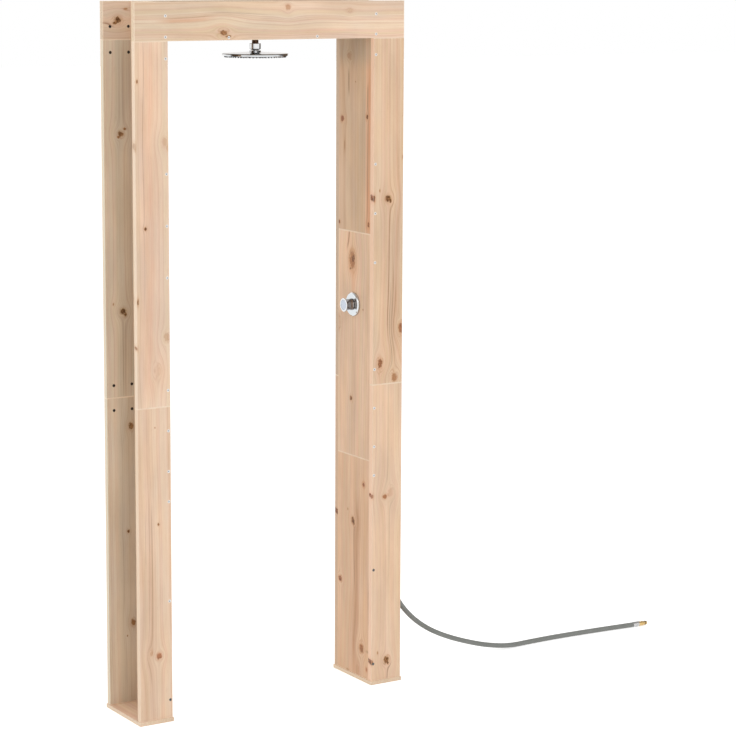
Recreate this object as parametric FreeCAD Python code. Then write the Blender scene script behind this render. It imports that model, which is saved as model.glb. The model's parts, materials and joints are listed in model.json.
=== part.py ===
import FreeCAD, Part
import math
import os

V = FreeCAD.Vector
os.makedirs("parts", exist_ok=True)

# ---------------------------------------------------------------- driving dimensions, mm
# Frame: origin on the ground at the centre of the two base plates, +X to the tap side,
# +Y to the back, +Z up. The front planks face -Y.
HEIGHT = 2150.0          # ground to the top of the beam
BASE_HALF = 463.5        # half the width over both base plates
BASE_W, BASE_D, BASE_T = 114.0, 230.0, 12.0
POST_OUT = 461.0         # outer edge of a post's planks
PLANK_W = 108.5          # width of a front or back plank
PLANK_T = 17.5           # thickness of every plank
POST_D = 223.0           # depth over a post's front and back planks
BEAM_Z = 2037.0          # underside of the beam
JOINT_Z = 964.0          # butt joint of the lower and upper front and back planks
SIDE_JOINTS = (721.0, 1433.0)   # butt joints of a side plank
ARRIS = 0.8              # rounded edge of every plank

SCREW_Z = (67.5, 372.5, 676.5, 768.0, 890.5, 1012.5, 1347.0, 1499.5, 1652.0, 1986.5, 2049.0, 2110.0)
SCREW_IN = 7.2           # screw row, in from the inner edge of a front or back plank
SCREW_L, SCREW_R, SCREW_HEAD_R = 45.0, 2.0, 4.5
BEAM_SCREW_X, BEAM_SCREW_Z = 151.0, 2045.0
SPLICE_DX, SPLICE_DZ = 30.0, 38.0   # half pitch of the four fixings of a splice plate
SPLICE_W, SPLICE_H, SPLICE_T = 92.0, 108.0, 2.0

TAP_Z = 1205.0
TAP_X = 415.0            # upright axis of the valve, riser and hose tail
PIPE_R, PIPE_WALL = 7.5, 1.0
PIPE_Z = 2099.5          # level of the pipe along the beam
PLATE_R, PLATE_OUT = 37.3, 9.5  # wall plate, and its reach from the side plank
KNOB_R, KNOB_OUT = 21.6, 38.5   # knob's face radius, and its reach from the side plank

HEAD_R = 100.0
HEAD_Z = 1985.2          # face of the head
BALL_Z, BALL_R = 1995.0, 9.0
NUT_R, NUT_Z0, NUT_Z1 = 17.2, 2002.5, 2022.5
STUB_R = 10.4

HOSE_R = 8.0

POST_IN = POST_OUT - PLANK_W         # inner edge of a post
WEB_OUT = POST_IN + PLANK_T          # outer face of a side plank
Y_OUT = POST_D / 2                   # outer faces of the front and back planks
Y_IN = Y_OUT - PLANK_T               # inner faces
DECK_Z = BEAM_Z + PLANK_T            # top of the beam's underside plank

nodes = {}


def add(name, *solids):
    flat = []
    for s in solids:
        flat += list(s) if isinstance(s, (list, tuple)) else [s]
    nodes[name] = flat


def box(x0, x1, y0, y1, z0, z1):
    a, b = sorted((x0, x1)), sorted((y0, y1))
    return Part.makeBox(a[1] - a[0], b[1] - b[0], z1 - z0, V(a[0], b[0], z0))


def cyl(r, start, direction, length):
    return Part.makeCylinder(r, length, V(*start), V(*direction))


def cone(r0, r1, start, direction, length):
    return Part.makeCone(r0, r1, length, V(*start), V(*direction))


def tube(r_in, r_out, start, direction, length):
    return cyl(r_out, start, direction, length).cut(cyl(r_in, start, direction, length))


def hex_prism(across, start, direction, length):
    """A hexagonal bar, across its flats, from start along direction."""
    r = across / math.sqrt(3)
    pts = [V(r * math.cos(math.radians(60 * i)), r * math.sin(math.radians(60 * i)), 0) for i in range(6)]
    f = Part.Face(Part.makePolygon(pts + [pts[0]]))
    s = f.extrude(V(0, 0, length))
    s.Placement = FreeCAD.Placement(V(*start), FreeCAD.Rotation(V(0, 0, 1), V(*direction)))
    return s


def lathe(points, origin=(0, 0, 0), direction=(0, 0, 1)):
    """A closed (radius, height) outline turned about the axis through origin."""
    pts = [V(r, 0, z) for r, z in points]
    f = Part.Face(Part.makePolygon(pts + [pts[0]]))
    s = f.revolve(V(0, 0, 0), V(0, 0, 1), 360)
    s.Placement = FreeCAD.Placement(V(*origin), FreeCAD.Rotation(V(0, 0, 1), V(*direction)))
    return s


def turned(runs, origin=(0, 0, 0), direction=(0, 0, 1)):
    """Like lathe; a list of points within the outline is one smooth curve through them."""
    edges, first, last = [], None, None
    for run in runs:
        pts = [V(r, 0, z) for r, z in (run if isinstance(run, list) else [run])]
        if last is not None and (last - pts[0]).Length > 1e-6:
            edges.append(Part.LineSegment(last, pts[0]).toShape())
        if len(pts) > 1:
            curve = Part.BSplineCurve()
            curve.interpolate(pts)
            edges.append(curve.toShape())
        first = first or pts[0]
        last = pts[-1]
    edges.append(Part.LineSegment(last, first).toShape())
    s = Part.Face(Part.Wire(edges)).revolve(V(0, 0, 0), V(0, 0, 1), 360)
    s.Placement = FreeCAD.Placement(V(*origin), FreeCAD.Rotation(V(0, 0, 1), V(*direction)))
    return s


def one(shape):
    """The single solid of a shape that a cut or a join has made."""
    found = shape.Solids
    if len(found) != 1:
        raise RuntimeError("expected one solid, found %d" % len(found))
    return found[0]


def plank(x0, x1, y0, y1, z0, z1, cuts=()):
    """A board with rounded edges and the holes for its fixings."""
    s = box(x0, x1, y0, y1, z0, z1)
    s = s.makeFillet(ARRIS, s.Edges)
    if cuts:
        s = s.cut(Part.makeCompound(list(cuts)))
    return one(s)


def wood_screw(at, direction, length=SCREW_L, recess=True):
    """A countersunk wood screw, its head's face at the given point."""
    body = lathe([(0, 0), (SCREW_HEAD_R, 0), (SCREW_HEAD_R, 0.5), (SCREW_R, 3.0), (SCREW_R, length - 5), (0, length)])
    if recess:
        body = body.cut(hex_prism(3.0, (0, 0, -0.01), (0, 0, 1), 2.0))
    body.Placement = FreeCAD.Placement(V(*at), FreeCAD.Rotation(V(0, 0, 1), V(*direction)))
    return body


# ---------------------------------------------------------------- screws through the planks
def row_points(side, front):
    """Screws through a post's front or back planks into the edge of its side plank."""
    x = side * (POST_IN + SCREW_IN)
    y = -Y_OUT if front else Y_OUT
    d = (0, 1, 0) if front else (0, -1, 0)
    return [((x, y, z), d) for z in SCREW_Z]


def beam_points(front):
    """Screws through the beam's front or back plank into the edge of its underside plank."""
    y = -Y_OUT if front else Y_OUT
    d = (0, 1, 0) if front else (0, -1, 0)
    return [((x, y, BEAM_SCREW_Z), d) for x in (-BEAM_SCREW_X, BEAM_SCREW_X)]


front_at = row_points(-1, True) + row_points(1, True) + beam_points(True)
back_at = row_points(-1, False) + row_points(1, False) + beam_points(False)
base_at = []
for side in (-1, 1):
    xm = side * (POST_OUT - PLANK_W / 2)
    for y in (-(Y_OUT - PLANK_T / 2), Y_OUT - PLANK_T / 2):
        for dx in (-34.0, 34.0):
            base_at.append(((xm + dx, y, 0.4), (0, 0, 1)))
    for y in (-52.0, 52.0):
        base_at.append(((side * (POST_IN + PLANK_T / 2), y, 0.4), (0, 0, 1)))

add("front_plank_screws", [wood_screw(p, d) for p, d in front_at])
add("back_plank_screws", [wood_screw(p, d) for p, d in back_at])
add("base_plate_screws", [wood_screw(p, d) for p, d in base_at])


def screw_cuts(points, x0, x1, y0, y1, z0, z1):
    """The holes of those screws that meet a board's box."""
    out = []
    for p, d in points:
        a, b = V(*p), V(*p).add(V(*d).multiply(SCREW_L))
        lo = [min(a[i], b[i]) - SCREW_HEAD_R for i in range(3)]
        hi = [max(a[i], b[i]) + SCREW_HEAD_R for i in range(3)]
        X, Y = sorted((x0, x1)), sorted((y0, y1))
        if lo[0] < X[1] and hi[0] > X[0] and lo[1] < Y[1] and hi[1] > Y[0] and lo[2] < z1 and hi[2] > z0:
            out.append(wood_screw(p, d, recess=False))
            if d[2] > 0:
                out.append(cyl(SCREW_HEAD_R, (p[0], p[1], -1), (0, 0, 1), 1.4))
    return out


all_screws = front_at + back_at + base_at

# ---------------------------------------------------------------- splice plates on the back
splice_at = [(side * (POST_OUT - PLANK_W / 2), z) for side in (-1, 1) for z in (JOINT_Z, BEAM_Z)]
plates, bolts, inserts, splice_cuts = [], [], [], []
for x, z in splice_at:
    p = box(x - SPLICE_W / 2, x + SPLICE_W / 2, Y_OUT, Y_OUT + SPLICE_T, z - SPLICE_H / 2, z + SPLICE_H / 2)
    p = p.makeFillet(8.0, [e for e in p.Edges if abs(e.Length - SPLICE_T) < 1e-6])
    for dx in (-SPLICE_DX, SPLICE_DX):
        for dz in (-SPLICE_DZ, SPLICE_DZ):
            c = (x + dx, 0, z + dz)
            p = p.cut(cyl(3.0, (c[0], Y_OUT - 1, c[2]), (0, 1, 0), 4))
            head = lathe([(0, 0), (5.0, 0), (5.5, 0.4), (5.5, 1.3), (3.0, 1.3), (3.0, 17.0), (0, 17.0)])
            head = head.cut(hex_prism(4.0, (0, 0, -0.01), (0, 0, 1), 1.0))
            head.Placement = FreeCAD.Placement(V(c[0], Y_OUT + SPLICE_T + 1.3, c[2]), FreeCAD.Rotation(V(0, 0, 1), V(0, -1, 0)))
            bolts.append(head)
            ins = tube(3.0, 4.6, (c[0], Y_IN + 0.4, c[2]), (0, 1, 0), 12.0)
            inserts.append(ins)
            splice_cuts.append((c, [cyl(4.6, (c[0], Y_IN - 1, c[2]), (0, 1, 0), 13.4),
                                    cyl(3.0, (c[0], Y_IN, c[2]), (0, 1, 0), PLANK_T + 1)]))
    plates.append(one(p))
add("rear_splice_plates", plates)
add("splice_bolts", bolts)
add("splice_insert_nuts", inserts)


def board(name, x0, x1, y0, y1, z0, z1, extra=()):
    cuts = screw_cuts(all_screws, x0, x1, y0, y1, z0, z1)
    X = sorted((x0, x1))
    if max(y0, y1) > Y_IN + 1:
        for c, shapes in splice_cuts:
            if X[0] < c[0] < X[1] and z0 < c[2] < z1:
                cuts += shapes
    cuts += list(extra)
    add(name, plank(x0, x1, y0, y1, z0, z1, cuts))


# ---------------------------------------------------------------- timber
pipe_hole = cyl(10.0, (POST_IN - 5, 0, PIPE_Z), (1, 0, 0), PLANK_T + 10)
tap_hole = cyl(12.5, (POST_IN - 5, 0, TAP_Z), (1, 0, 0), PLANK_T + 10)
stub_hole = cyl(STUB_R, (0, 0, BEAM_Z - 5), (0, 0, 1), PLANK_T + 10)

pipe_screw_at = []   # pan-head screws of the pipe clips and of the wall elbow
CLIP_Z = (1375.0, 1625.0, 1930.0)
CLIP_X = (115.0, 262.0)
for z in CLIP_Z:
    for dz in (-11.0, 11.0):
        pipe_screw_at.append(((WEB_OUT + 4.0, 0, z + dz), (-1, 0, 0)))
for x in CLIP_X:
    for dx in (-11.0, 11.0):
        pipe_screw_at.append(((x + dx, 0, DECK_Z + 4.0), (0, 0, -1)))
for a in (90, 270):
    pipe_screw_at.append(((19.0 * math.cos(math.radians(a)), 19.0 * math.sin(math.radians(a)), DECK_Z + 4.0), (0, 0, -1)))


def pan_screw(at, direction, recess=True):
    """A pan-head wood screw; the underside of its head is at the given point."""
    s = lathe([(0, -2.2), (2.4, -2.2), (3.6, -1.2), (3.6, 0), (1.75, 0), (1.75, 12.0), (0, 15.0)])
    if recess:
        s = s.cut(hex_prism(2.6, (0, 0, -2.21), (0, 0, 1), 1.3))
    s.Placement = FreeCAD.Placement(V(*at), FreeCAD.Rotation(V(0, 0, 1), V(*direction)))
    return s


pan_cuts = [pan_screw(p, d, recess=False) for p, d in pipe_screw_at]

for side, word in ((-1, "left"), (1, "right")):
    xi, xo = side * POST_IN, side * POST_OUT
    b0, b1 = side * (BASE_HALF - BASE_W), side * BASE_HALF
    board(word + "_base_plate", b0, b1, -BASE_D / 2, BASE_D / 2, 0, BASE_T)
    board(word + "_front_plank_lower", xi, xo, -Y_OUT, -Y_IN, BASE_T, JOINT_Z)
    board(word + "_front_plank_upper", xi, xo, -Y_OUT, -Y_IN, JOINT_Z, BEAM_Z)
    board(word + "_back_plank_lower", xi, xo, Y_IN, Y_OUT, BASE_T, JOINT_Z)
    board(word + "_back_plank_upper", xi, xo, Y_IN, Y_OUT, JOINT_Z, BEAM_Z)
    xw = side * WEB_OUT
    board(word + "_side_plank_lower", xi, xw, -Y_IN, Y_IN, BASE_T, SIDE_JOINTS[0])
    mid = [tap_hole] + pan_cuts[:6] if side > 0 else []
    board(word + "_side_plank_middle", xi, xw, -Y_IN, Y_IN, SIDE_JOINTS[0], SIDE_JOINTS[1], mid)
    top = [pipe_hole] + pan_cuts[:6] if side > 0 else []
    board(word + "_side_plank_upper", xi, xw, -Y_IN, Y_IN, SIDE_JOINTS[1], HEIGHT, top)
board("beam_front_plank", -POST_OUT, POST_OUT, -Y_OUT, -Y_IN, BEAM_Z, HEIGHT)
board("beam_back_plank", -POST_OUT, POST_OUT, Y_IN, Y_OUT, BEAM_Z, HEIGHT)
board("beam_underside_plank", -POST_IN, POST_IN, -Y_IN, Y_IN, BEAM_Z, DECK_Z, [stub_hole] + pan_cuts[6:])

# ---------------------------------------------------------------- tap
X0 = POST_IN                          # inner face of the side plank: the tap looks to -X from it
SLEEVE_END = X0 - PLATE_OUT - 0.5
body = cyl(12.5, (TAP_X, 0, TAP_Z - 30), (0, 0, 1), 60)
body = body.fuse([
    Part.makeSphere(20.0, V(TAP_X - 6, 0, TAP_Z)),
    cyl(14.5, (TAP_X, 0, TAP_Z), (-1, 0, 0), TAP_X - WEB_OUT),
    hex_prism(36.0, (WEB_OUT + 4.0, 0, TAP_Z), (1, 0, 0), 9.0),
    cyl(23.0, (WEB_OUT, 0, TAP_Z), (1, 0, 0), 4.0),
    cyl(12.5, (SLEEVE_END, 0, TAP_Z), (1, 0, 0), WEB_OUT - SLEEVE_END),
    cyl(STUB_R, (TAP_X, 0, TAP_Z - 45), (0, 0, 1), 15),
    cyl(STUB_R, (TAP_X, 0, TAP_Z + 30), (0, 0, 1), 15),
])
body = body.cut(Part.makeCompound([
    cyl(6.0, (TAP_X, 0, TAP_Z - 46), (0, 0, 1), 46),                 # inlet
    cyl(5.0, (TAP_X + 1, 0, TAP_Z), (-1, 0, 0), 14),                  # seat
    cyl(11.0, (TAP_X - 12, 0, TAP_Z), (-1, 0, 0), 22),                # chamber
    cyl(9.5, (TAP_X - 33, 0, TAP_Z), (-1, 0, 0), 60),                 # cartridge bore
    cyl(4.0, (TAP_X - 20, 0, TAP_Z + 7), (1, 0, 1), 30),              # outlet passage
    cyl(7.5, (TAP_X, 0, TAP_Z + 25), (0, 0, 1), 25),                  # outlet socket
    cone(8.6, 7.5, (TAP_X, 0, TAP_Z + 45.01), (0, 0, -1), 3.0),
]))
add("valve_body", one(body))
nut = hex_prism(30.0, (X0 - 4.0, 0, TAP_Z), (1, 0, 0), 4.0).cut(cyl(12.5, (X0 - 5, 0, TAP_Z), (1, 0, 0), 6))
add("valve_backnut", one(nut))

CX1 = TAP_X - 12.0                    # inner end of the cartridge, against the fixed disc
cart = lathe([(4.12, 0), (9.5, 0), (9.5, 30.0), (9.0, 30.0), (9.0, 54.5), (7.25, 54.5), (7.25, 48.3), (5.8, 48.3), (5.8, 45.2), (4.12, 45.2)],
             (CX1 - 54.5, 0, TAP_Z), (1, 0, 0))
cart = cart.cut(cyl(3.2, (CX1 - 12, 0, TAP_Z - 12), (0, 0, 1), 24))
add("valve_cartridge", one(cart))
fixed = cyl(7.25, (CX1 - 3.0, 0, TAP_Z), (1, 0, 0), 3.0).cut(cyl(1.9, (CX1 - 4, 0, TAP_Z + 3.4), (1, 0, 0), 6))
add("ceramic_disc_fixed", one(fixed))
moving = cyl(6.9, (CX1 - 6.0, 0, TAP_Z), (1, 0, 0), 2.95).cut(cyl(1.9, (CX1 - 7, 3.4, TAP_Z), (1, 0, 0), 6))
add("ceramic_disc_moving", one(moving))
SP_END = X0 - KNOB_OUT + 6.5
spindle = cyl(4.0, (SP_END, 0, TAP_Z), (1, 0, 0), CX1 - 6.0 - SP_END)
spindle = spindle.fuse(cyl(5.5, (CX1 - 9.0, 0, TAP_Z), (1, 0, 0), 3.0))
spindle = spindle.cut(cyl(2.0, (SP_END - 1, 0, TAP_Z), (1, 0, 0), 13))
add("valve_spindle", one(spindle))

# Wall plate: a flat-fronted rose with a broad bevel round it, hollow over the back nut.
P1 = PLATE_OUT
plate = turned([(12.5, P1), (12.5, P1 - 0.9), (PLATE_R - 3.7, P1 - 0.9), (PLATE_R - 1.0, P1 - 3.3), (PLATE_R - 1.0, 0), (PLATE_R, 0), (PLATE_R, P1 - 3.6),
                [(PLATE_R, P1 - 3.6), (PLATE_R - 0.25, P1 - 2.9), (PLATE_R - 0.8, P1 - 2.2)], [(PLATE_R - 2.6, P1 - 0.5), (PLATE_R - 3.0, P1 - 0.2), (PLATE_R - 3.6, P1)]],
               (X0, 0, TAP_Z), (-1, 0, 0))
add("wall_plate", one(plate))

# Knob: a turned handle with a slight waist and a flared front, its flat face looking to -X.
K0, K1 = PLATE_OUT + 1.0, KNOB_OUT
knob = turned([(0, K0), (17.4, K0), [(17.4, K0), (18.1, K0 + 0.3), (18.3, K0 + 1.0)],
               [(18.3, K0 + 1.0), (17.4, K0 + 4.5), (16.9, K0 + 9.5), (17.3, K0 + 14.5), (18.4, K0 + 19.5), (20.0, K0 + 23.5), (KNOB_R - 0.3, K1 - 1.7)],
               [(KNOB_R - 0.3, K1 - 1.7), (KNOB_R, K1 - 1.1), (KNOB_R - 0.2, K1 - 0.4), (KNOB_R - 0.9, K1)],
               (16.2, K1), (16.2, K1 - 2.4), (5.0, K1 - 2.4), (5.0, K1 - 6.0), (2.0, K1 - 6.0), (2.0, K1 - 6.5), (4.0, K1 - 6.5), (4.0, K0 + 5.0), (0, K0 + 5.0)],
              (X0, 0, TAP_Z), (-1, 0, 0))
knob = knob.cut(cyl(4.0, (SP_END, 0, TAP_Z), (1, 0, 0), 30))
knob = knob.cut(cyl(2.0, (SP_END - 4.5, 0, TAP_Z), (1, 0, 0), 20))
add("tap_knob", one(knob))
kscrew = lathe([(0, 0), (3.6, 0), (3.6, 2.4), (2.0, 2.4), (2.0, 13.0), (0, 13.0)])
kscrew = kscrew.cut(hex_prism(2.5, (0, 0, -0.01), (0, 0, 1), 1.5))
kscrew.Placement = FreeCAD.Placement(V(X0 - K1 + 3.6, 0, TAP_Z), FreeCAD.Rotation(V(0, 0, 1), V(1, 0, 0)))
add("knob_screw", kscrew)
cap = lathe([(0, K1 - 2.4), (16.2, K1 - 2.4), (16.2, K1 - 0.6), (15.6, K1 - 0.2), (0, K1 - 0.2)], (X0, 0, TAP_Z), (-1, 0, 0))
add("knob_cap", one(cap))

# ---------------------------------------------------------------- pipework
def clamp_nut(at, direction):
    """A compression nut; at is where it starts on the pipe, direction points to its fitting."""
    s = hex_prism(24.0, at, direction, 15.0)
    a, d = V(*at), V(*direction)
    e = a.add(V(d).multiply(4.0))
    s = s.common(cone(12.4, 13.9, at, direction, 1.5).fuse(cyl(13.9, tuple(a.add(V(d).multiply(1.5))), direction, 13.5)))
    return one(s.cut(cyl(PIPE_R, at, direction, 20)).cut(cyl(STUB_R, tuple(e), direction, 20)))


def olive(at, direction):
    s = lathe([(PIPE_R, 0), (8.3, 0), (8.8, 1.2), (8.8, 2.4), (7.9, 3.9), (PIPE_R, 3.9)])
    s.Placement = FreeCAD.Placement(V(*at), FreeCAD.Rotation(V(0, 0, 1), V(*direction)))
    return s


riser_z0, riser_z1 = TAP_Z + 30.0, PIPE_Z - 14.0
add("riser_pipe", one(tube(PIPE_R - PIPE_WALL, PIPE_R, (TAP_X, 0, riser_z0), (0, 0, 1), riser_z1 - riser_z0)))
cross_x0, cross_x1 = 14.0, TAP_X - 14.0
add("cross_pipe", one(tube(PIPE_R - PIPE_WALL, PIPE_R, (cross_x0, 0, PIPE_Z), (1, 0, 0), cross_x1 - cross_x0)))

elbow = Part.makeSphere(13.0, V(TAP_X, 0, PIPE_Z)).fuse([
    cyl(12.0, (TAP_X, 0, PIPE_Z), (0, 0, -1), 16), cyl(STUB_R, (TAP_X, 0, PIPE_Z), (0, 0, -1), 28),
    cyl(12.0, (TAP_X, 0, PIPE_Z), (-1, 0, 0), 16), cyl(STUB_R, (TAP_X, 0, PIPE_Z), (-1, 0, 0), 28)])
elbow = elbow.cut(Part.makeCompound([
    cyl(6.0, (TAP_X, 0, PIPE_Z + 4), (0, 0, -1), 30), cyl(6.0, (TAP_X + 4, 0, PIPE_Z), (-1, 0, 0), 30),
    cyl(PIPE_R, (TAP_X, 0, PIPE_Z - 14), (0, 0, -1), 20), cyl(PIPE_R, (TAP_X - 14, 0, PIPE_Z), (-1, 0, 0), 20),
    cone(8.6, PIPE_R, (TAP_X, 0, PIPE_Z - 28.01), (0, 0, 1), 3.0), cone(8.6, PIPE_R, (TAP_X - 28.01, 0, PIPE_Z), (1, 0, 0), 3.0)]))
add("corner_elbow", one(elbow))

drop = Part.makeSphere(14.5, V(0, 0, PIPE_Z)).fuse([
    cyl(13.5, (0, 0, DECK_Z + 4), (0, 0, 1), PIPE_Z - DECK_Z - 4), cyl(26.0, (0, 0, DECK_Z), (0, 0, 1), 4.0),
    cyl(12.0, (0, 0, PIPE_Z), (1, 0, 0), 17), cyl(STUB_R, (0, 0, PIPE_Z), (1, 0, 0), 28)])
drop = drop.cut(Part.makeCompound([
    cyl(STUB_R, (0, 0, DECK_Z - 1), (0, 0, 1), 26.0), cyl(6.5, (0, 0, DECK_Z), (0, 0, 1), PIPE_Z - DECK_Z + 4),
    cyl(6.0, (-4, 0, PIPE_Z), (1, 0, 0), 34), cyl(PIPE_R, (14, 0, PIPE_Z), (1, 0, 0), 20),
    cone(8.6, PIPE_R, (28.01, 0, PIPE_Z), (-1, 0, 0), 3.0)] + [pan_screw(p, d, recess=False) for p, d in pipe_screw_at[10:]]
    + [cyl(3.6, (p[0], p[1], DECK_Z + 4.0), (0, 0, 1), 8) for p, d in pipe_screw_at[10:]]))
add("drop_elbow", one(drop))

nut_at = [((TAP_X, 0, TAP_Z + 45 + 4.5), (0, 0, -1)), ((TAP_X, 0, PIPE_Z - 28 - 4.5), (0, 0, 1)),
          ((TAP_X - 28 - 4.5, 0, PIPE_Z), (1, 0, 0)), ((28 + 4.5, 0, PIPE_Z), (-1, 0, 0))]
add("compression_nuts", [clamp_nut(p, d) for p, d in nut_at])
olives = []
for p, d in nut_at:
    a = V(*p).add(V(*d).multiply(4.05))
    # the olive sits between the nut's shoulder and the fitting's cone
    o = lathe([(PIPE_R, 0), (8.2, 0), (8.2, 0.4), (7.95, 1.6), (PIPE_R, 1.6)])
    o.Placement = FreeCAD.Placement(a, FreeCAD.Rotation(V(0, 0, 1), V(*d)))
    olives.append(o)
add("compression_olives", olives)


def pipe_clip(foot, out, along):
    """A stand-off clip: a foot with two screw holes, a pillar, and a ring about the pipe."""
    reach = TAP_X - WEB_OUT
    f, o, a = V(*foot), V(*out), V(*along)
    w = a.cross(o)
    def bar(du, dv, h0, h1):
        c = f.add(V(o).multiply(h0)).sub(V(a).multiply(du / 2)).sub(V(w).multiply(dv / 2))
        m = FreeCAD.Matrix(a.x, w.x, o.x, c.x, a.y, w.y, o.y, c.y, a.z, w.z, o.z, c.z, 0, 0, 0, 1)
        b = Part.makeBox(du, dv, h1 - h0)
        return b.transformGeometry(m)
    ring_c = f.add(V(o).multiply(reach)).sub(V(a).multiply(6.0))
    s = bar(32.0, 16.0, 0, 4.0).fuse([bar(10.0, 12.0, 3.0, reach - 8.0), cyl(10.5, tuple(ring_c), tuple(a), 12.0)])
    s = s.cut(cyl(PIPE_R, tuple(ring_c.sub(V(a))), tuple(a), 14.0))
    for p, d in pipe_screw_at:
        if (V(*p).sub(f)).Length < 16:
            s = s.cut(pan_screw(p, d, recess=False))
    return one(s)


clips = [pipe_clip((WEB_OUT, 0, z), (1, 0, 0), (0, 0, 1)) for z in CLIP_Z]
clips += [pipe_clip((x, 0, DECK_Z), (0, 0, 1), (1, 0, 0)) for x in CLIP_X]
add("pipe_clips", clips)
add("pipe_fixing_screws", [pan_screw(p, d) for p, d in pipe_screw_at])

# The stub under the beam: thread crests as rings at the pipe thread's pitch.
PITCH = 1.814
STUB_Z0, STUB_Z1 = NUT_Z1 - 13.5, DECK_Z + 25.0
prof = [(7.4, STUB_Z0), (STUB_R, STUB_Z0), (STUB_R, NUT_Z1)]
z = NUT_Z1 + 0.3
while z + PITCH < BEAM_Z - 0.1:
    prof += [(STUB_R, z), (STUB_R - 1.0, z + PITCH / 2), (STUB_R, z + PITCH)]
    z += PITCH
clean = [prof[0]]
for q in prof[1:]:
    if abs(q[0] - clean[-1][0]) + abs(q[1] - clean[-1][1]) > 1e-6:
        clean.append(q)
clean += [(STUB_R, STUB_Z1), (7.4, STUB_Z1)]
add("threaded_stub", one(lathe(clean)))

# ---------------------------------------------------------------- rain head
def sphere_zone(r, a0, a1, n=12):
    """Points of a circle about the ball's centre, from polar angle a0 to a1 (degrees from +Z)."""
    return [(r * math.sin(math.radians(a0 + (a1 - a0) * i / n)), BALL_Z + r * math.cos(math.radians(a0 + (a1 - a0) * i / n))) for i in range(n + 1)]


def arc_lathe(parts):
    """Turn an outline made of straight points and circle arcs about the ball's centre."""
    edges, first, last = [], None, None
    for p in parts:
        if p[0] == "arc":
            _, r, a0, a1 = p
            s, m, e = [V(r * math.sin(math.radians(a)), 0, BALL_Z + r * math.cos(math.radians(a))) for a in (a0, (a0 + a1) / 2, a1)]
            if last is not None and (last - s).Length > 1e-6:
                edges.append(Part.LineSegment(last, s).toShape())
            edges.append(Part.Arc(s, m, e).toShape())
            first = first or s
            last = e
        else:
            q = V(p[0], 0, p[1])
            if last is not None and (last - q).Length > 1e-6:
                edges.append(Part.LineSegment(last, q).toShape())
            first = first or q
            last = q
    if (last - first).Length > 1e-6:
        edges.append(Part.LineSegment(last, first).toShape())
    return Part.Face(Part.Wire(edges)).revolve(V(0, 0, 0), V(0, 0, 1), 360)


def polar(r, z):
    return math.degrees(math.atan2(r, z - BALL_Z))


neck_r = 6.0
neck_a = math.degrees(math.asin(neck_r / BALL_R))
cut_a = 180 - math.degrees(math.acos(5.7 / BALL_R))
conn = arc_lathe([
    (3.5, BALL_Z - 5.7), ("arc", BALL_R, cut_a, neck_a), (neck_r, NUT_Z0), (10.0, NUT_Z0), (NUT_R - 0.4, NUT_Z0 + 3.2), (NUT_R, NUT_Z0 + 3.8),
    (NUT_R, NUT_Z0 + 5.0), (NUT_R - 0.35, NUT_Z0 + 5.3), (NUT_R - 0.35, NUT_Z0 + 5.9), (NUT_R, NUT_Z0 + 6.2),
    (NUT_R, NUT_Z1 - 1.0), (NUT_R - 0.7, NUT_Z1), (STUB_R, NUT_Z1), (STUB_R, NUT_Z1 - 15.0), (3.5, NUT_Z1 - 15.0)])
add("head_connector", one(conn))
washer_up = tube(6.0, STUB_R, (0, 0, NUT_Z1 - 15.0), (0, 0, 1), 1.5)

SEAT0, SEAT1 = 62.0, 122.0
seat = arc_lathe([("arc", BALL_R + 0.15, SEAT1, SEAT0), ("arc", BALL_R + 1.15, SEAT0, SEAT1)])
add("ball_seat", one(seat))

SOCKET = BALL_R + 1.3
collar_top = 2000.2
a_lip = math.degrees(math.acos((collar_top - BALL_Z) / SOCKET))
COLLAR_R, COLLAR_Z = 17.6, 1997.9   # flange of the collar: its radius and its underside
collar = arc_lathe([("arc", SOCKET, 90.0, a_lip), (11.6, collar_top), (COLLAR_R - 0.7, collar_top + 1.0), (COLLAR_R - 0.2, collar_top + 0.8), (COLLAR_R, collar_top + 0.3),
                    (COLLAR_R, COLLAR_Z + 0.5), (COLLAR_R - 0.5, COLLAR_Z), (12.6, COLLAR_Z), (12.6, BALL_Z)])
add("head_collar", one(collar))

a_bot = 128.0
bot_z = BALL_Z + SOCKET * math.cos(math.radians(a_bot))
shell = arc_lathe([
    ("arc", SOCKET, a_bot, 90.0), (12.6, BALL_Z), (12.6, COLLAR_Z), (18.8, COLLAR_Z), (26.0, 1997.2), (50.0, 1995.9), (75.0, 1994.5),
    (93.0, 1993.4), (97.5, 1993.0), (99.3, 1992.3), (HEAD_R, 1991.2), (HEAD_R, 1987.2), (99.7, 1986.2), (99.0, 1985.4),
    (98.3, 1985.2), (98.3, 1991.2), (97.0, 1991.8), (75.0, 1993.0), (50.0, 1994.4), (26.0, 1995.7), (20.0, 1995.9), (15.5, 1994.5), (15.0, bot_z)])
add("head_shell", one(shell))

RINGS = ((18.0, 10), (33.0, 18), (48.0, 26), (63.0, 34), (78.0, 42), (92.3, 60))
spots = []
for r, n in RINGS:
    for i in range(n):
        a = 2 * math.pi * (i + 0.5) / n
        spots.append((r * math.cos(a), r * math.sin(a)))
FACE_T, MAT_T, NOZZLE = 1.6, 1.2, 4.0
NOZZLE_R = 1.9
face = cyl(98.3, (0, 0, HEAD_Z), (0, 0, 1), FACE_T)
face = face.cut(Part.makeCompound([cyl(NOZZLE_R, (x, y, HEAD_Z - 1), (0, 0, 1), 4) for x, y in spots]))
add("face_plate", one(face))
mat = tube(11.0, 95.4, (0, 0, HEAD_Z + FACE_T), (0, 0, 1), MAT_T)
studs = []
for x, y in spots:
    s = cyl(NOZZLE_R, (x, y, HEAD_Z), (0, 0, 1), FACE_T + 0.3).fuse(cone(1.45, NOZZLE_R, (x, y, HEAD_Z - NOZZLE), (0, 0, 1), NOZZLE))
    studs.append(s)
mat = mat.fuse(studs).removeSplitter()
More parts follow.
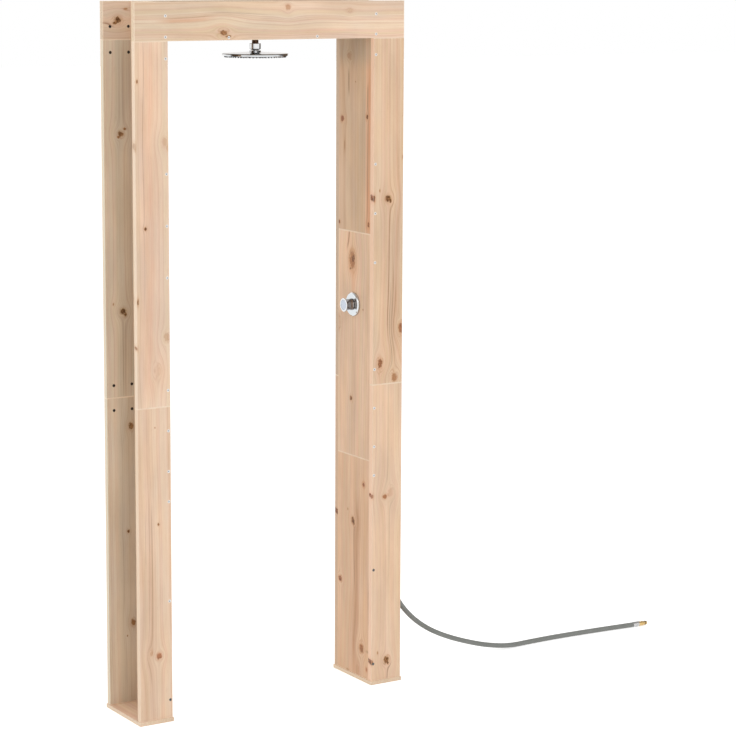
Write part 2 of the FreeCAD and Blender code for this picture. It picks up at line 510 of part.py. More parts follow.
mat = mat.cut(Part.makeCompound([cyl(0.5, (x, y, HEAD_Z - 5), (0, 0, 1), 12) for x, y in spots]))
add("nozzle_mat", one(mat))
seal = Part.makeTorus(97.2, 1.0, V(0, 0, HEAD_Z + FACE_T + 1.0))
add("head_seal_ring", seal)

# ---------------------------------------------------------------- hose
# Route of the supply hose's centreline. Straight runs joined by tangent arcs.
HOSE_TOP = TAP_Z - 62.0
ROUTE = [
    (415.0, 0.0, HOSE_TOP), (415.0, 0.0, 1052.0), (416.5, 3.0, 930.0), (418.5, 4.0, 790.0), (424.0, 2.0, 640.0),
    (436.5, -1.0, 500.0), (458.0, -3.0, 384.0), (489.0, -2.0, 287.0), (528.0, -1.0, 217.0), (574.0, 0.0, 164.5),
    (634.0, 0.5, 118.5), (705.0, 0.5, 82.0), (790.0, 0.0, 50.0), (878.0, 0.0, 24.0), (968.0, 1.0, 8.4),
    (1064.0, 9.0, 8.2), (1180.0, 11.0, 8.2), (1300.0, 6.5, 8.2), (1408.0, -0.5, 8.3), (1504.0, -10.0, 9.4),
]


def rounded_path(points, name):
    """The route as one wire: each corner takes an arc of 0.45 of its shorter run."""
    pts = [V(*p) for p in points]
    edges, at, radii, length = [], pts[0], [], 0.0
    for i in range(1, len(pts) - 1):
        a, b = pts[i - 1] - pts[i], pts[i + 1] - pts[i]
        cut = 0.45 * min(a.Length, b.Length)
        turn = math.pi - a.getAngle(b)
        radius = cut / math.tan(turn / 2)
        radii.append(radius)
        ua, ub = V(a).normalize(), V(b).normalize()
        s, e = pts[i] + ua * cut, pts[i] + ub * cut
        bis = (ua + ub).normalize()
        centre = pts[i] + bis * (radius / math.cos(turn / 2))
        mid = centre - bis * radius
        edges.append(Part.LineSegment(at, s).toShape())
        edges.append(Part.Arc(s, mid, e).toShape())
        at = e
    edges.append(Part.LineSegment(at, pts[-1]).toShape())
    wire = Part.Wire(edges)
    print(name, "length %.1f mm, %d points, radii" % (wire.Length, len(pts)), [round(r) for r in radii])
    print(name, "runs", [round((pts[i + 1] - pts[i]).Length) for i in range(len(pts) - 1)])
    return wire


def sweep(wire, r):
    e = wire.Edges[0]
    d = e.tangentAt(e.FirstParameter)
    profile = Part.Wire(Part.makeCircle(r, e.valueAt(e.FirstParameter), d))
    s = wire.makePipeShell([profile], True, False)
    print("sweep", s.ShapeType, "valid", s.isValid(), "volume ratio %.4f" % (s.Volume / (math.pi * r * r * wire.Length)))
    return one(s)


hose_wire = rounded_path(ROUTE, "supply_hose")
hose = sweep(hose_wire, HOSE_R)
BARB_L, BARB_R = 26.0, 6.0
end, prev = V(*ROUTE[-1]), V(*ROUTE[-2])
end_d = (end - prev).normalize()
hose = hose.cut(Part.makeCompound([
    cyl(BARB_R, (TAP_X, 0, HOSE_TOP + 1), (0, 0, -1), BARB_L + 1),
    cyl(BARB_R, tuple(end + end_d * 1.0), tuple(end_d * -1), BARB_L + 1)]))
add("supply_hose", one(hose))

# Hose tail under the valve: nut on the inlet thread, tail with a collar, barbs in the hose.
tail_nut = hex_prism(26.0, (TAP_X, 0, TAP_Z - 53.0), (0, 0, 1), 17.0)
tail_nut = tail_nut.cut(cyl(STUB_R, (TAP_X, 0, TAP_Z - 48.0), (0, 0, 1), 15)).cut(cyl(8.0, (TAP_X, 0, TAP_Z - 54.0), (0, 0, 1), 8))
add("hose_tail_nut", one(tail_nut))
tail = lathe([(4.2, -BARB_L), (5.2, -BARB_L), (BARB_R, -BARB_L + 4), (5.4, -BARB_L + 4.1), (BARB_R, -BARB_L + 10), (5.4, -BARB_L + 10.1), (BARB_R, -BARB_L + 16),
              (5.4, -BARB_L + 16.1), (BARB_R, -2.0), (BARB_R, 0), (9.0, 0), (9.0, 3.0), (8.0, 3.0), (8.0, 14.0), (STUB_R, 14.0), (STUB_R, 15.5), (4.2, 15.5)],
             (TAP_X, 0, HOSE_TOP), (0, 0, 1))
add("hose_tail", one(tail))
washer_down = tube(6.0, STUB_R, (TAP_X, 0, TAP_Z - 46.5), (0, 0, 1), 1.5)
add("fibre_washers", one(washer_up), one(washer_down))

# Worm-drive clip round the hose over the barbs.
clip_z = HOSE_TOP - 17.0
band = tube(HOSE_R, HOSE_R + 0.7, (TAP_X, 0, clip_z - 4.5), (0, 0, 1), 9.0)
house = box(TAP_X + HOSE_R + 0.3, TAP_X + HOSE_R + 6.5, -6.0, 6.0, clip_z - 4.5, clip_z + 4.5)
house = house.makeFillet(1.2, [e for e in house.Edges if abs(e.Length - 9.0) < 1e-6])
band = band.fuse(house).cut(cyl(HOSE_R, (TAP_X, 0, clip_z - 6), (0, 0, 1), 12)).cut(cyl(2.0, (TAP_X + HOSE_R + 3.6, -8, clip_z), (0, 1, 0), 16))
add("hose_clip", one(band))
worm = lathe([(0, 0), (3.2, 0), (3.2, 3.2), (2.0, 3.2), (2.0, 17.0), (0, 17.0)])
worm = worm.cut(box(-4, 4, -0.4, 0.4, -0.1, 1.2))
worm.Placement = FreeCAD.Placement(V(TAP_X + HOSE_R + 3.6, -9.2, clip_z), FreeCAD.Rotation(V(0, 0, 1), V(0, 1, 0)))
add("hose_clip_screw", worm)

# Far end: a crimped ferrule, and a plug-in nipple for a click coupling.
def on_end(shape):
    shape.Placement = FreeCAD.Placement(end, FreeCAD.Rotation(V(0, 0, 1), end_d)).multiply(shape.Placement)
    return shape


ferrule = lathe([(HOSE_R, -23.0), (8.5, -23.0), (8.9, -22.4), (8.9, -19.0), (8.45, -18.4), (8.45, -16.4), (8.9, -15.8), (8.9, -13.0), (8.45, -12.4), (8.45, -10.4),
                 (8.9, -9.8), (8.9, -0.4), (8.5, 0.0), (HOSE_R, 0.0)])
nip = lathe([(4.2, -BARB_L), (5.2, -BARB_L), (BARB_R, -BARB_L + 4), (5.4, -BARB_L + 4.1), (BARB_R, -BARB_L + 10), (5.4, -BARB_L + 10.1), (BARB_R, -2.0), (BARB_R, 0),
             (8.1, 0), (8.1, 5.0), (7.6, 6.0), (6.6, 6.6), (6.6, 11.0), (8.0, 12.0), (8.0, 15.5), (6.6, 17.0), (6.6, 24.0), (5.4, 24.0), (5.4, 26.6), (6.4, 26.6), (6.4, 31.0), (5.6, 32.5), (4.2, 32.5)])
oring = Part.makeTorus(6.3, 1.0, V(0, 0, 25.3))
oring = oring.cut(lathe([(0, 20), (5.4, 20), (5.4, 30), (0, 30)]))
add("hose_end_ferrule", one(on_end(ferrule)))
add("hose_end_nipple", one(on_end(nip)))
add("nipple_o_ring", one(on_end(oring)))

# ---------------------------------------------------------------- write the nodes
total = 0
for name in sorted(nodes):
    solids = nodes[name]
    for s in solids:
        if not s.isValid():
            print("INVALID", name)
    shape = solids[0] if len(solids) == 1 else Part.makeCompound(solids)
    shape.exportStep("parts/%s.step" % name)
    b = shape.BoundBox
    total += len(solids)
    print("%-28s %3d solid(s)  vol %10.1f  x %.1f..%.1f y %.1f..%.1f z %.1f..%.1f" % (name, len(solids), shape.Volume, b.XMin, b.XMax, b.YMin, b.YMax, b.ZMin, b.ZMax))
print(len(nodes), "nodes,", total, "solids")
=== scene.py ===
import json
import math
import random

import bpy
from mathutils import Matrix, Vector


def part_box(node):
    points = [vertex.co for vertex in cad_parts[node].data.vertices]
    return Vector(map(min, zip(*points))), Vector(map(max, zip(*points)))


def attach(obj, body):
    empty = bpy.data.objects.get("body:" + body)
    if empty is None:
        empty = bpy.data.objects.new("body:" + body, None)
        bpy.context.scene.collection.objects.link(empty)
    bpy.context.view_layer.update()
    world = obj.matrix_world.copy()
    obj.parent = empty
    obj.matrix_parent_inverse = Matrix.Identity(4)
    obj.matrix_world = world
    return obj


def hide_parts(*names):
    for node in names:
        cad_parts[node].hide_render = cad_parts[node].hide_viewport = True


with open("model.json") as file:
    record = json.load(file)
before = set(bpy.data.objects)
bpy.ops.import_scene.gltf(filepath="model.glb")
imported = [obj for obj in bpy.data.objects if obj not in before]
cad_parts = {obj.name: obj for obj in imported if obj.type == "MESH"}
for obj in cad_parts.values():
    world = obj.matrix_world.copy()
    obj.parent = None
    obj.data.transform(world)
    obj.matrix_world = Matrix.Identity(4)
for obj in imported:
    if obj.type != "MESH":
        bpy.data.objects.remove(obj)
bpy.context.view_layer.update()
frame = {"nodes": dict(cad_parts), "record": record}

scene = bpy.context.scene
nodes = frame["nodes"]


# ------------------------------------------------------------------ camera
def aim(yaw, pitch, roll):
    """A camera's rotation: yaw from +Y towards +X, pitch downwards, roll about the line of sight, in degrees."""
    y, p, r = (math.radians(a) for a in (yaw, pitch, roll))
    ahead = Vector((math.sin(y) * math.cos(p), math.cos(y) * math.cos(p), -math.sin(p)))
    right = Vector((math.cos(y), -math.sin(y), 0.0))
    up = right.cross(ahead)
    x = right * math.cos(r) + up * math.sin(r)
    z = up * math.cos(r) - right * math.sin(r)
    return Matrix((x, z, -ahead)).transposed()


camera = bpy.data.objects.new("camera", bpy.data.cameras.new("camera"))
scene.collection.objects.link(camera)
camera.data.sensor_width = 36.0
camera.data.lens = 118.53
camera.data.shift_y = -0.075
camera.data.clip_end = 60.0
camera.rotation_mode = "QUATERNION"
camera.location = (-3.5935, -6.398, 2.278)
camera.rotation_quaternion = aim(32.0, 8.33, 0.26).to_quaternion()
scene.camera = camera

# ------------------------------------------------------------------ hose: its route, then its tube
HOSE_R = 0.008
ROUTE = [
    (0.4150, 0.0000, 1.1430), (0.4150, 0.0000, 1.0520), (0.4165, 0.0030, 0.9300), (0.4185, 0.0040, 0.7900),
    (0.4240, 0.0020, 0.6400), (0.4365, -0.0010, 0.5000), (0.4580, -0.0030, 0.3840), (0.4890, -0.0020, 0.2870),
    (0.5280, -0.0010, 0.2170), (0.5740, 0.0000, 0.1645), (0.6340, 0.0005, 0.1185), (0.7050, 0.0005, 0.0820),
    (0.7900, 0.0000, 0.0500), (0.8780, 0.0000, 0.0240), (0.9680, 0.0010, 0.0084), (1.0640, 0.0090, 0.0082),
    (1.1800, 0.0110, 0.0082), (1.3000, 0.0065, 0.0082), (1.4080, -0.0005, 0.0083), (1.5040, -0.0100, 0.0094),
]


def smooth_line(points):
    """The points of a smooth spline that the route's points steer."""
    curve = bpy.data.curves.new("route", "CURVE")
    curve.dimensions = "3D"
    curve.resolution_u = 18
    spline = curve.splines.new("NURBS")
    spline.points.add(len(points) - 1)
    for p, co in zip(spline.points, points):
        p.co = (*co, 1.0)
    spline.order_u = 3
    spline.use_endpoint_u = True
    carrier = bpy.data.objects.new("route", curve)
    mesh = bpy.data.meshes.new_from_object(carrier)
    line = [v.co.copy() for v in mesh.vertices]
    bpy.data.meshes.remove(mesh)
    bpy.data.objects.remove(carrier)
    bpy.data.curves.remove(curve)
    return line


def ribbed_tube(name, line, radius, ribs, depth):
    """A closed tube along the line, with shallow ribs that run along it."""
    around = ribs * 4
    verts, faces, loops_uv = [], [], []
    side = None
    travelled = 0.0
    marks = []
    for i, p in enumerate(line):
        ahead = (line[min(i + 1, len(line) - 1)] - line[max(i - 1, 0)]).normalized()
        if side is None:
            side = Vector((0, 1, 0))
        side = (side - ahead * side.dot(ahead)).normalized()
        other = ahead.cross(side)
        if i:
            travelled += (p - line[i - 1]).length
        marks.append(travelled)
        for k in range(around):
            a = 2 * math.pi * k / around
            r = radius - depth * (0.5 - 0.5 * math.cos(ribs * a))
            verts.append(p + side * (r * math.cos(a)) + other * (r * math.sin(a)))
    for i in range(len(line) - 1):
        for k in range(around):
            n = (k + 1) % around
            faces.append((i * around + k, i * around + n, (i + 1) * around + n, (i + 1) * around + k))
            loops_uv += [(marks[i], k / around), (marks[i], (k + 1) / around), (marks[i + 1], (k + 1) / around), (marks[i + 1], k / around)]
    last = (len(line) - 1) * around
    faces.append(tuple(reversed(range(around))))
    faces.append(tuple(range(last, last + around)))
    loops_uv += [(marks[0], 0.0)] * around + [(marks[-1], 0.0)] * around
    mesh = bpy.data.meshes.new(name)
    mesh.from_pydata([tuple(v) for v in verts], [], faces)
    uv = mesh.uv_layers.new(name="along")
    uv.data.foreach_set("uv", [c for pair in loops_uv for c in pair])
    mesh.polygons.foreach_set("use_smooth", [True] * (len(faces) - 2) + [False, False])
    mesh.update()
    piece = bpy.data.objects.new(name, mesh)
    scene.collection.objects.link(piece)
    return piece


hose_line = smooth_line(ROUTE)
hose = ribbed_tube("garden_hose", hose_line, HOSE_R, 22, 0.00022)
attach(hose, "frame")
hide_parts("supply_hose")
hose_length = sum((b - a).length for a, b in zip(hose_line, hose_line[1:]))


# ------------------------------------------------------------------ node helpers
def lin(r, g, b):
    """A colour given in 0 to 255 as scene-linear RGBA."""
    def one(c):
        c /= 255.0
        return c / 12.92 if c <= 0.04045 else ((c + 0.055) / 1.055) ** 2.4
    return (one(r), one(g), one(b), 1.0)


class Net:
    """Short ways to write a shader's nodes."""

    def __init__(self, tree):
        self.tree = tree

    def feed(self, socket, value):
        if isinstance(value, bpy.types.NodeSocket):
            self.tree.links.new(value, socket)
        else:
            socket.default_value = value

    def put(self, kind, ins=None, **settings):
        node = self.tree.nodes.new(kind)
        for k, v in settings.items():
            setattr(node, k, v)
        for k, v in (ins or {}).items():
            self.feed(node.inputs[k], v)
        return node

    def m(self, op, *args, clamp=False):
        node = self.put("ShaderNodeMath", operation=op, use_clamp=clamp)
        for i, a in enumerate(args):
            self.feed(node.inputs[i], a)
        return node.outputs[0]

    def v(self, op, *args, out=0):
        node = self.put("ShaderNodeVectorMath", operation=op)
        for i, a in enumerate(args):
            self.feed(node.inputs[3 if op == "SCALE" and i == 1 else i], a)
        return node.outputs[out]

    def span(self, x, lo, hi, a=0.0, b=1.0, smooth=True):
        node = self.put("ShaderNodeMapRange", interpolation_type="SMOOTHSTEP" if smooth else "LINEAR", clamp=True)
        for i, s in enumerate((x, lo, hi, a, b)):
            self.feed(node.inputs[i], s)
        return node.outputs[0]

    def mix(self, fac, a, b, blend="MIX"):
        node = self.put("ShaderNodeMix", data_type="RGBA", blend_type=blend, clamp_factor=True)
        self.feed(node.inputs[0], fac)
        self.feed(node.inputs[6], a)
        self.feed(node.inputs[7], b)
        return node.outputs[2]

    def noise(self, vector, scale=1.0, detail=2.0, rough=0.5, distortion=0.0):
        node = self.put("ShaderNodeTexNoise", {"Vector": vector, "Scale": scale, "Detail": detail, "Roughness": rough, "Distortion": distortion})
        return node.outputs[0]

    def line_noise(self, w, scale=1.0, detail=1.0):
        node = self.put("ShaderNodeTexNoise", {"W": w, "Scale": scale, "Detail": detail}, noise_dimensions="1D")
        return node.outputs[0]

    def join(self, x, y, z):
        node = self.put("ShaderNodeCombineXYZ")
        for i, a in enumerate((x, y, z)):
            self.feed(node.inputs[i], a)
        return node.outputs[0]

    def parts(self, vector):
        node = self.put("ShaderNodeSeparateXYZ", {0: vector})
        return node.outputs

    def bump(self, height, strength, distance, normal=None):
        ins = {"Strength": strength, "Distance": distance, "Height": height}
        if normal is not None:
            ins["Normal"] = normal
        return self.put("ShaderNodeBump", ins).outputs[0]


def new_group(name, ins, outs):
    tree = bpy.data.node_groups.new(name, "ShaderNodeTree")
    kinds = {"f": "NodeSocketFloat", "v": "NodeSocketVector", "c": "NodeSocketColor"}
    for label, kind in ins:
        tree.interface.new_socket(name=label, in_out="INPUT", socket_type=kinds[kind])
    for label, kind in outs:
        tree.interface.new_socket(name=label, in_out="OUTPUT", socket_type=kinds[kind])
    net = Net(tree)
    return tree, net, tree.nodes.new("NodeGroupInput").outputs, tree.nodes.new("NodeGroupOutput").inputs


# ------------------------------------------------------------------ pine
# A board's own coordinates, in mm: U across its face, V along it, W through it.
# Psi is U with the grain pushed aside by the knots, so that the growth rings flow round them.
knot_tree, net, gi, go = new_group(
    "knot",
    [("Place", "v"), ("Centre", "v"), ("Shrink", "v"), ("Dark", "f"), ("Red", "f"), ("Flow", "f"), ("Psi", "f"), ("Near", "f"), ("Tone", "f"),
     ("Warm", "f")],
    [("Psi", "f"), ("Near", "f"), ("Tone", "f"), ("Warm", "f")],
)
away = net.v("SUBTRACT", gi["Place"], gi["Centre"])
q = net.v("MULTIPLY", away, gi["Shrink"])
d2 = net.v("DOT_PRODUCT", q, q, out=1)
d = net.m("SQRT", d2)
reach = net.m("DIVIDE", d2, net.m("MULTIPLY", gi["Flow"], gi["Flow"]))
push = net.m("DIVIDE", net.parts(away)[0], net.m("ADD", reach, 0.40))
net.feed(go["Psi"], net.m("SUBTRACT", gi["Psi"], push))
net.feed(go["Near"], net.m("MINIMUM", gi["Near"], d))
here = net.span(d, 2.8, 1.1)
net.feed(go["Tone"], net.m("MAXIMUM", gi["Tone"], net.m("MULTIPLY", gi["Dark"], here)))
warm = net.m("ADD", net.m("MULTIPLY", gi["Warm"], net.m("SUBTRACT", 1.0, here)), net.m("MULTIPLY", gi["Red"], here))
net.feed(go["Warm"], warm)

streak_tree, net, gi, go = new_group(
    "streak",
    [("Psi", "f"), ("V", "f"), ("Centre", "f"), ("Width", "f"), ("From", "f"), ("To", "f"), ("Soft", "f"), ("Strength", "f"), ("Sum", "f")],
    [("Sum", "f")],
)
t = net.m("DIVIDE", net.m("SUBTRACT", gi["Psi"], gi["Centre"]), gi["Width"])
bell = net.m("POWER", 2.718, net.m("MULTIPLY", net.m("MULTIPLY", t, t), -1.0))
start = net.span(gi["V"], net.m("SUBTRACT", gi["From"], gi["Soft"]), net.m("ADD", gi["From"], gi["Soft"]))
stop = net.span(gi["V"], net.m("ADD", gi["To"], gi["Soft"]), net.m("SUBTRACT", gi["To"], gi["Soft"]))
net.feed(go["Sum"], net.m("ADD", gi["Sum"], net.m("MULTIPLY", net.m("MULTIPLY", bell, start), net.m("MULTIPLY", stop, gi["Strength"]))))

CREAM, PINK, STRAW = lin(233, 209, 184), lin(231, 198, 174), lin(226, 201, 168)
LATE, FLECK = lin(200, 157, 126), lin(174, 130, 98)
# Pale cream for the painted highlight drawn along the boards' eased arrises.
PAINTED_HIGHLIGHT = lin(253, 235, 212)

pine_tree, net, gi, go = new_group(
    "pine",
    [("Place", "v"), ("Psi", "f"), ("Near", "f"), ("Tone", "f"), ("Warm", "f"), ("Streak", "f"), ("Stain", "f"), ("Seed", "f"), ("Pith U", "f"),
     ("Pith W", "f"), ("Taper", "f"), ("Wander", "f"), ("Spacing", "f"), ("Ring", "f"), ("Bands", "f"), ("Edge", "f"), ("End", "f"), ("Painted Highlight", "f"),
     ("Edge Light", "f"), ("End Light", "f"), ("Tint", "c")],
    [("Color", "c"), ("Rough", "f"), ("Height", "f")],
)
U, VV, W = net.parts(gi["Place"])
seed = net.join(net.m("MULTIPLY", gi["Seed"], 7.13), net.m("MULTIPLY", gi["Seed"], 3.71), net.m("MULTIPLY", gi["Seed"], 5.39))


def stretched(su, sv, sw, shift=0.0):
    at = net.v("MULTIPLY", gi["Place"], (su, sv, sw))
    at = net.v("ADD", at, seed)
    return net.v("ADD", at, (shift, shift * 0.7, shift * 1.3))


meander = net.m("MULTIPLY", net.m("SUBTRACT", net.noise(stretched(0.011, 0.0023, 0.011), detail=1.0), 0.5), gi["Wander"])
ripple = net.m("MULTIPLY", net.m("SUBTRACT", net.noise(stretched(0.05, 0.007, 0.05, 4.1), detail=2.0), 0.5), 3.2)
psi = net.m("ADD", net.m("ADD", gi["Psi"], meander), ripple)
du = net.m("SUBTRACT", psi, gi["Pith U"])
dw = net.m("SUBTRACT", W, gi["Pith W"])
rho = net.m("SQRT", net.m("ADD", net.m("MULTIPLY", du, du), net.m("MULTIPLY", dw, dw)))
rho = net.m("ADD", rho, net.m("MULTIPLY", VV, gi["Taper"]))
rho_seeded = net.m("ADD", rho, net.m("MULTIPLY", gi["Seed"], 61.7))
rings = net.m("ADD", rho_seeded, net.m("MULTIPLY", net.line_noise(rho_seeded, 0.045), 16.0))
turns = net.m("DIVIDE", rings, gi["Spacing"])
f = net.m("FRACT", turns)
late = net.m("MULTIPLY", net.span(f, 0.30, 0.90), net.span(f, 1.0, 0.94))
vary = net.span(net.line_noise(net.m("ADD", rho_seeded, 300.0), 0.13, 2.0), 0.34, 0.66, 0.12, 1.0)
around_knot = net.span(gi["Near"], 3.6, 1.0)
ring = net.m("MULTIPLY", net.m("MULTIPLY", late, vary), net.m("ADD", gi["Ring"], net.m("MULTIPLY", around_knot, 0.30)), clamp=True)

band = net.span(net.line_noise(rho_seeded, 0.052, 1.0), 0.36, 0.64)
straw = net.span(net.line_noise(net.m("ADD", rho_seeded, 811.0), 0.085, 2.0), 0.42, 0.70)
broad = net.span(net.line_noise(net.m("ADD", rho_seeded, 97.0), 0.16, 2.0), 0.50, 0.74)
colour = net.mix(net.m("MULTIPLY", band, gi["Bands"]), CREAM, PINK)
colour = net.mix(net.m("MULTIPLY", straw, net.m("MULTIPLY", gi["Bands"], 0.75)), colour, STRAW)
colour = net.mix(net.m("MULTIPLY", broad, 0.22), colour, LATE)
colour = net.mix(ring, colour, LATE)
stain_noise = net.span(net.noise(stretched(0.06, 0.008, 0.06, 9.3), detail=3.0), 0.25, 0.75, 0.65, 1.1)
colour = net.mix(net.m("MULTIPLY", gi["Stain"], stain_noise, clamp=True), colour, lin(224, 170, 137))

fibre = net.noise(stretched(0.85, 0.011, 0.85, 2.7), detail=3.0, rough=0.6)
colour = net.mix(net.span(fibre, 0.5, 0.78, 0.0, 0.20), colour, LATE)
colour = net.mix(net.span(fibre, 0.5, 0.22, 0.0, 0.22), colour, lin(243, 225, 203))
pores = net.span(net.noise(stretched(2.6, 0.035, 2.6, 6.6), detail=1.0), 0.67, 0.76)
colour = net.mix(net.m("MULTIPLY", pores, 0.38), colour, FLECK)
patch = net.span(net.noise(stretched(0.016, 0.0035, 0.016, 13.0), detail=3.0), 0.30, 0.70, 0.91, 1.055)
colour = net.v("SCALE", colour, patch)
drift = net.span(net.noise(stretched(0.022, 0.0045, 0.022, 21.0), detail=2.0), 0.34, 0.66)
colour = net.v("MULTIPLY", colour, net.mix(drift, (1.012, 0.995, 0.965, 1.0), (0.990, 1.002, 1.022, 1.0)))

# Knots: a patchy, cracked core, a broken dark rim and a warm halo drawn out along the grain.
rag = net.noise(stretched(0.13, 0.10, 0.13, 1.9), detail=4.0, rough=0.6)
near = net.m("ADD", gi["Near"], net.m("MULTIPLY", net.m("SUBTRACT", rag, 0.5), 1.5))
halo = net.m("POWER", 2.718, net.m("MULTIPLY", net.m("MAXIMUM", net.m("SUBTRACT", near, 0.8), 0.0), -1.5))
halo = net.m("MULTIPLY", halo, net.span(gi["Tone"], 0.0, 0.45, 0.10, 0.78))
halo_tone = net.mix(gi["Warm"], lin(190, 144, 97), lin(210, 152, 116))
colour = net.mix(halo, colour, halo_tone)
core = net.span(near, 1.12, 0.68)
waves = net.m("ADD", 0.5, net.m("MULTIPLY", net.m("SINE", net.m("MULTIPLY", near, 17.0)), 0.5))
blots = net.span(net.noise(stretched(0.21, 0.17, 0.21, 5.2), detail=3.0), 0.40, 0.58)
pale_core = net.mix(gi["Warm"], lin(172, 124, 76), lin(192, 134, 100))
deep_core = net.mix(gi["Warm"], lin(108, 70, 33), lin(136, 86, 55))
inner = net.mix(net.m("MULTIPLY", waves, 0.45), pale_core, deep_core)
inner = net.mix(net.m("MULTIPLY", blots, net.span(gi["Tone"], 0.25, 0.85)), inner, deep_core)
inner = net.mix(net.m("MULTIPLY", net.m("MULTIPLY", blots, core), net.span(gi["Tone"], 0.5, 1.0, 0.0, 0.62)), inner, lin(70, 40, 12))
core_show = net.m("MULTIPLY", core, net.span(gi["Tone"], 0.04, 0.5, 0.05, 0.95))
colour = net.mix(core_show, colour, inner)
rim_at = net.m("DIVIDE", net.m("SUBTRACT", near, 0.96), 0.14)
rim = net.m("POWER", 2.718, net.m("MULTIPLY", net.m("MULTIPLY", rim_at, rim_at), -1.0))
rim = net.m("MULTIPLY", rim, net.span(net.noise(stretched(0.10, 0.08, 0.10, 7.4), detail=1.0), 0.40, 0.56))
rim_tone = net.mix(gi["Warm"], lin(100, 65, 31), lin(126, 80, 50))
colour = net.mix(net.m("MULTIPLY", rim, net.span(gi["Tone"], 0.10, 0.85, 0.05, 0.85)), colour, rim_tone)
cracks = net.span(net.noise(stretched(0.55, 0.40, 0.55, 8.8), detail=2.0, distortion=1.2), 0.56, 0.66)
crack = net.m("MULTIPLY", net.m("MULTIPLY", cracks, core), net.span(gi["Tone"], 0.35, 0.9))
colour = net.mix(net.m("MULTIPLY", crack, 0.66), colour, lin(56, 34, 17))

streak = net.m("MULTIPLY", gi["Streak"], net.span(fibre, 0.30, 0.62, 0.65, 1.15), clamp=True)
colour = net.mix(streak, colour, lin(144, 98, 70))

# The narrow edges are paler sapwood and the sawn ends rougher. The eased arrises get a painted highlight: a pale line
# standing in for the light they catch.
edge_pale = net.mix(0.62, colour, lin(247, 228, 202))
knotty = net.m("MAXIMUM", core_show, net.m("MULTIPLY", halo, 0.6))
colour = net.mix(net.m("MULTIPLY", gi["Edge"], net.m("SUBTRACT", 1.0, net.m("MULTIPLY", knotty, 1.0))), colour, net.v("SCALE", edge_pale, gi["Edge Light"]))
end_grain = net.mix(0.55, colour, lin(240, 219, 192))
end_grain = net.mix(net.m("MULTIPLY", net.span(net.noise(stretched(0.35, 0.35, 0.35, 3.8), detail=3.0), 0.48, 0.66), 0.30), end_grain, lin(190, 150, 116))
colour = net.mix(gi["End"], colour, net.v("SCALE", end_grain, gi["End Light"]))
colour = net.mix(1.0, colour, gi["Tint"], "MULTIPLY")
# The painted highlight along the arrises, laid over everything else.
colour = net.mix(gi["Painted Highlight"], colour, PAINTED_HIGHLIGHT)
net.feed(go["Color"], colour)
rough = net.m("ADD", 0.50, net.m("MULTIPLY", fibre, 0.16))
rough = net.m("ADD", rough, net.m("MULTIPLY", gi["End"], 0.12))
net.feed(go["Rough"], net.m("SUBTRACT", rough, net.m("MULTIPLY", core_show, 0.12)))
height = net.m("ADD", net.m("MULTIPLY", late, 0.30), net.m("MULTIPLY", fibre, 0.55))
height = net.m("SUBTRACT", height, net.m("MULTIPLY", pores, 0.35))
height = net.m("SUBTRACT", height, net.m("MULTIPLY", crack, 1.4))
height = net.m("ADD", height, net.m("MULTIPLY", core_show, 0.35))
height = net.m("ADD", height, net.m("MULTIPLY", net.m("MULTIPLY", gi["End"], net.noise(stretched(1.1, 1.1, 1.1, 3.3), detail=3.0)), 0.8))
net.feed(go["Height"], height)


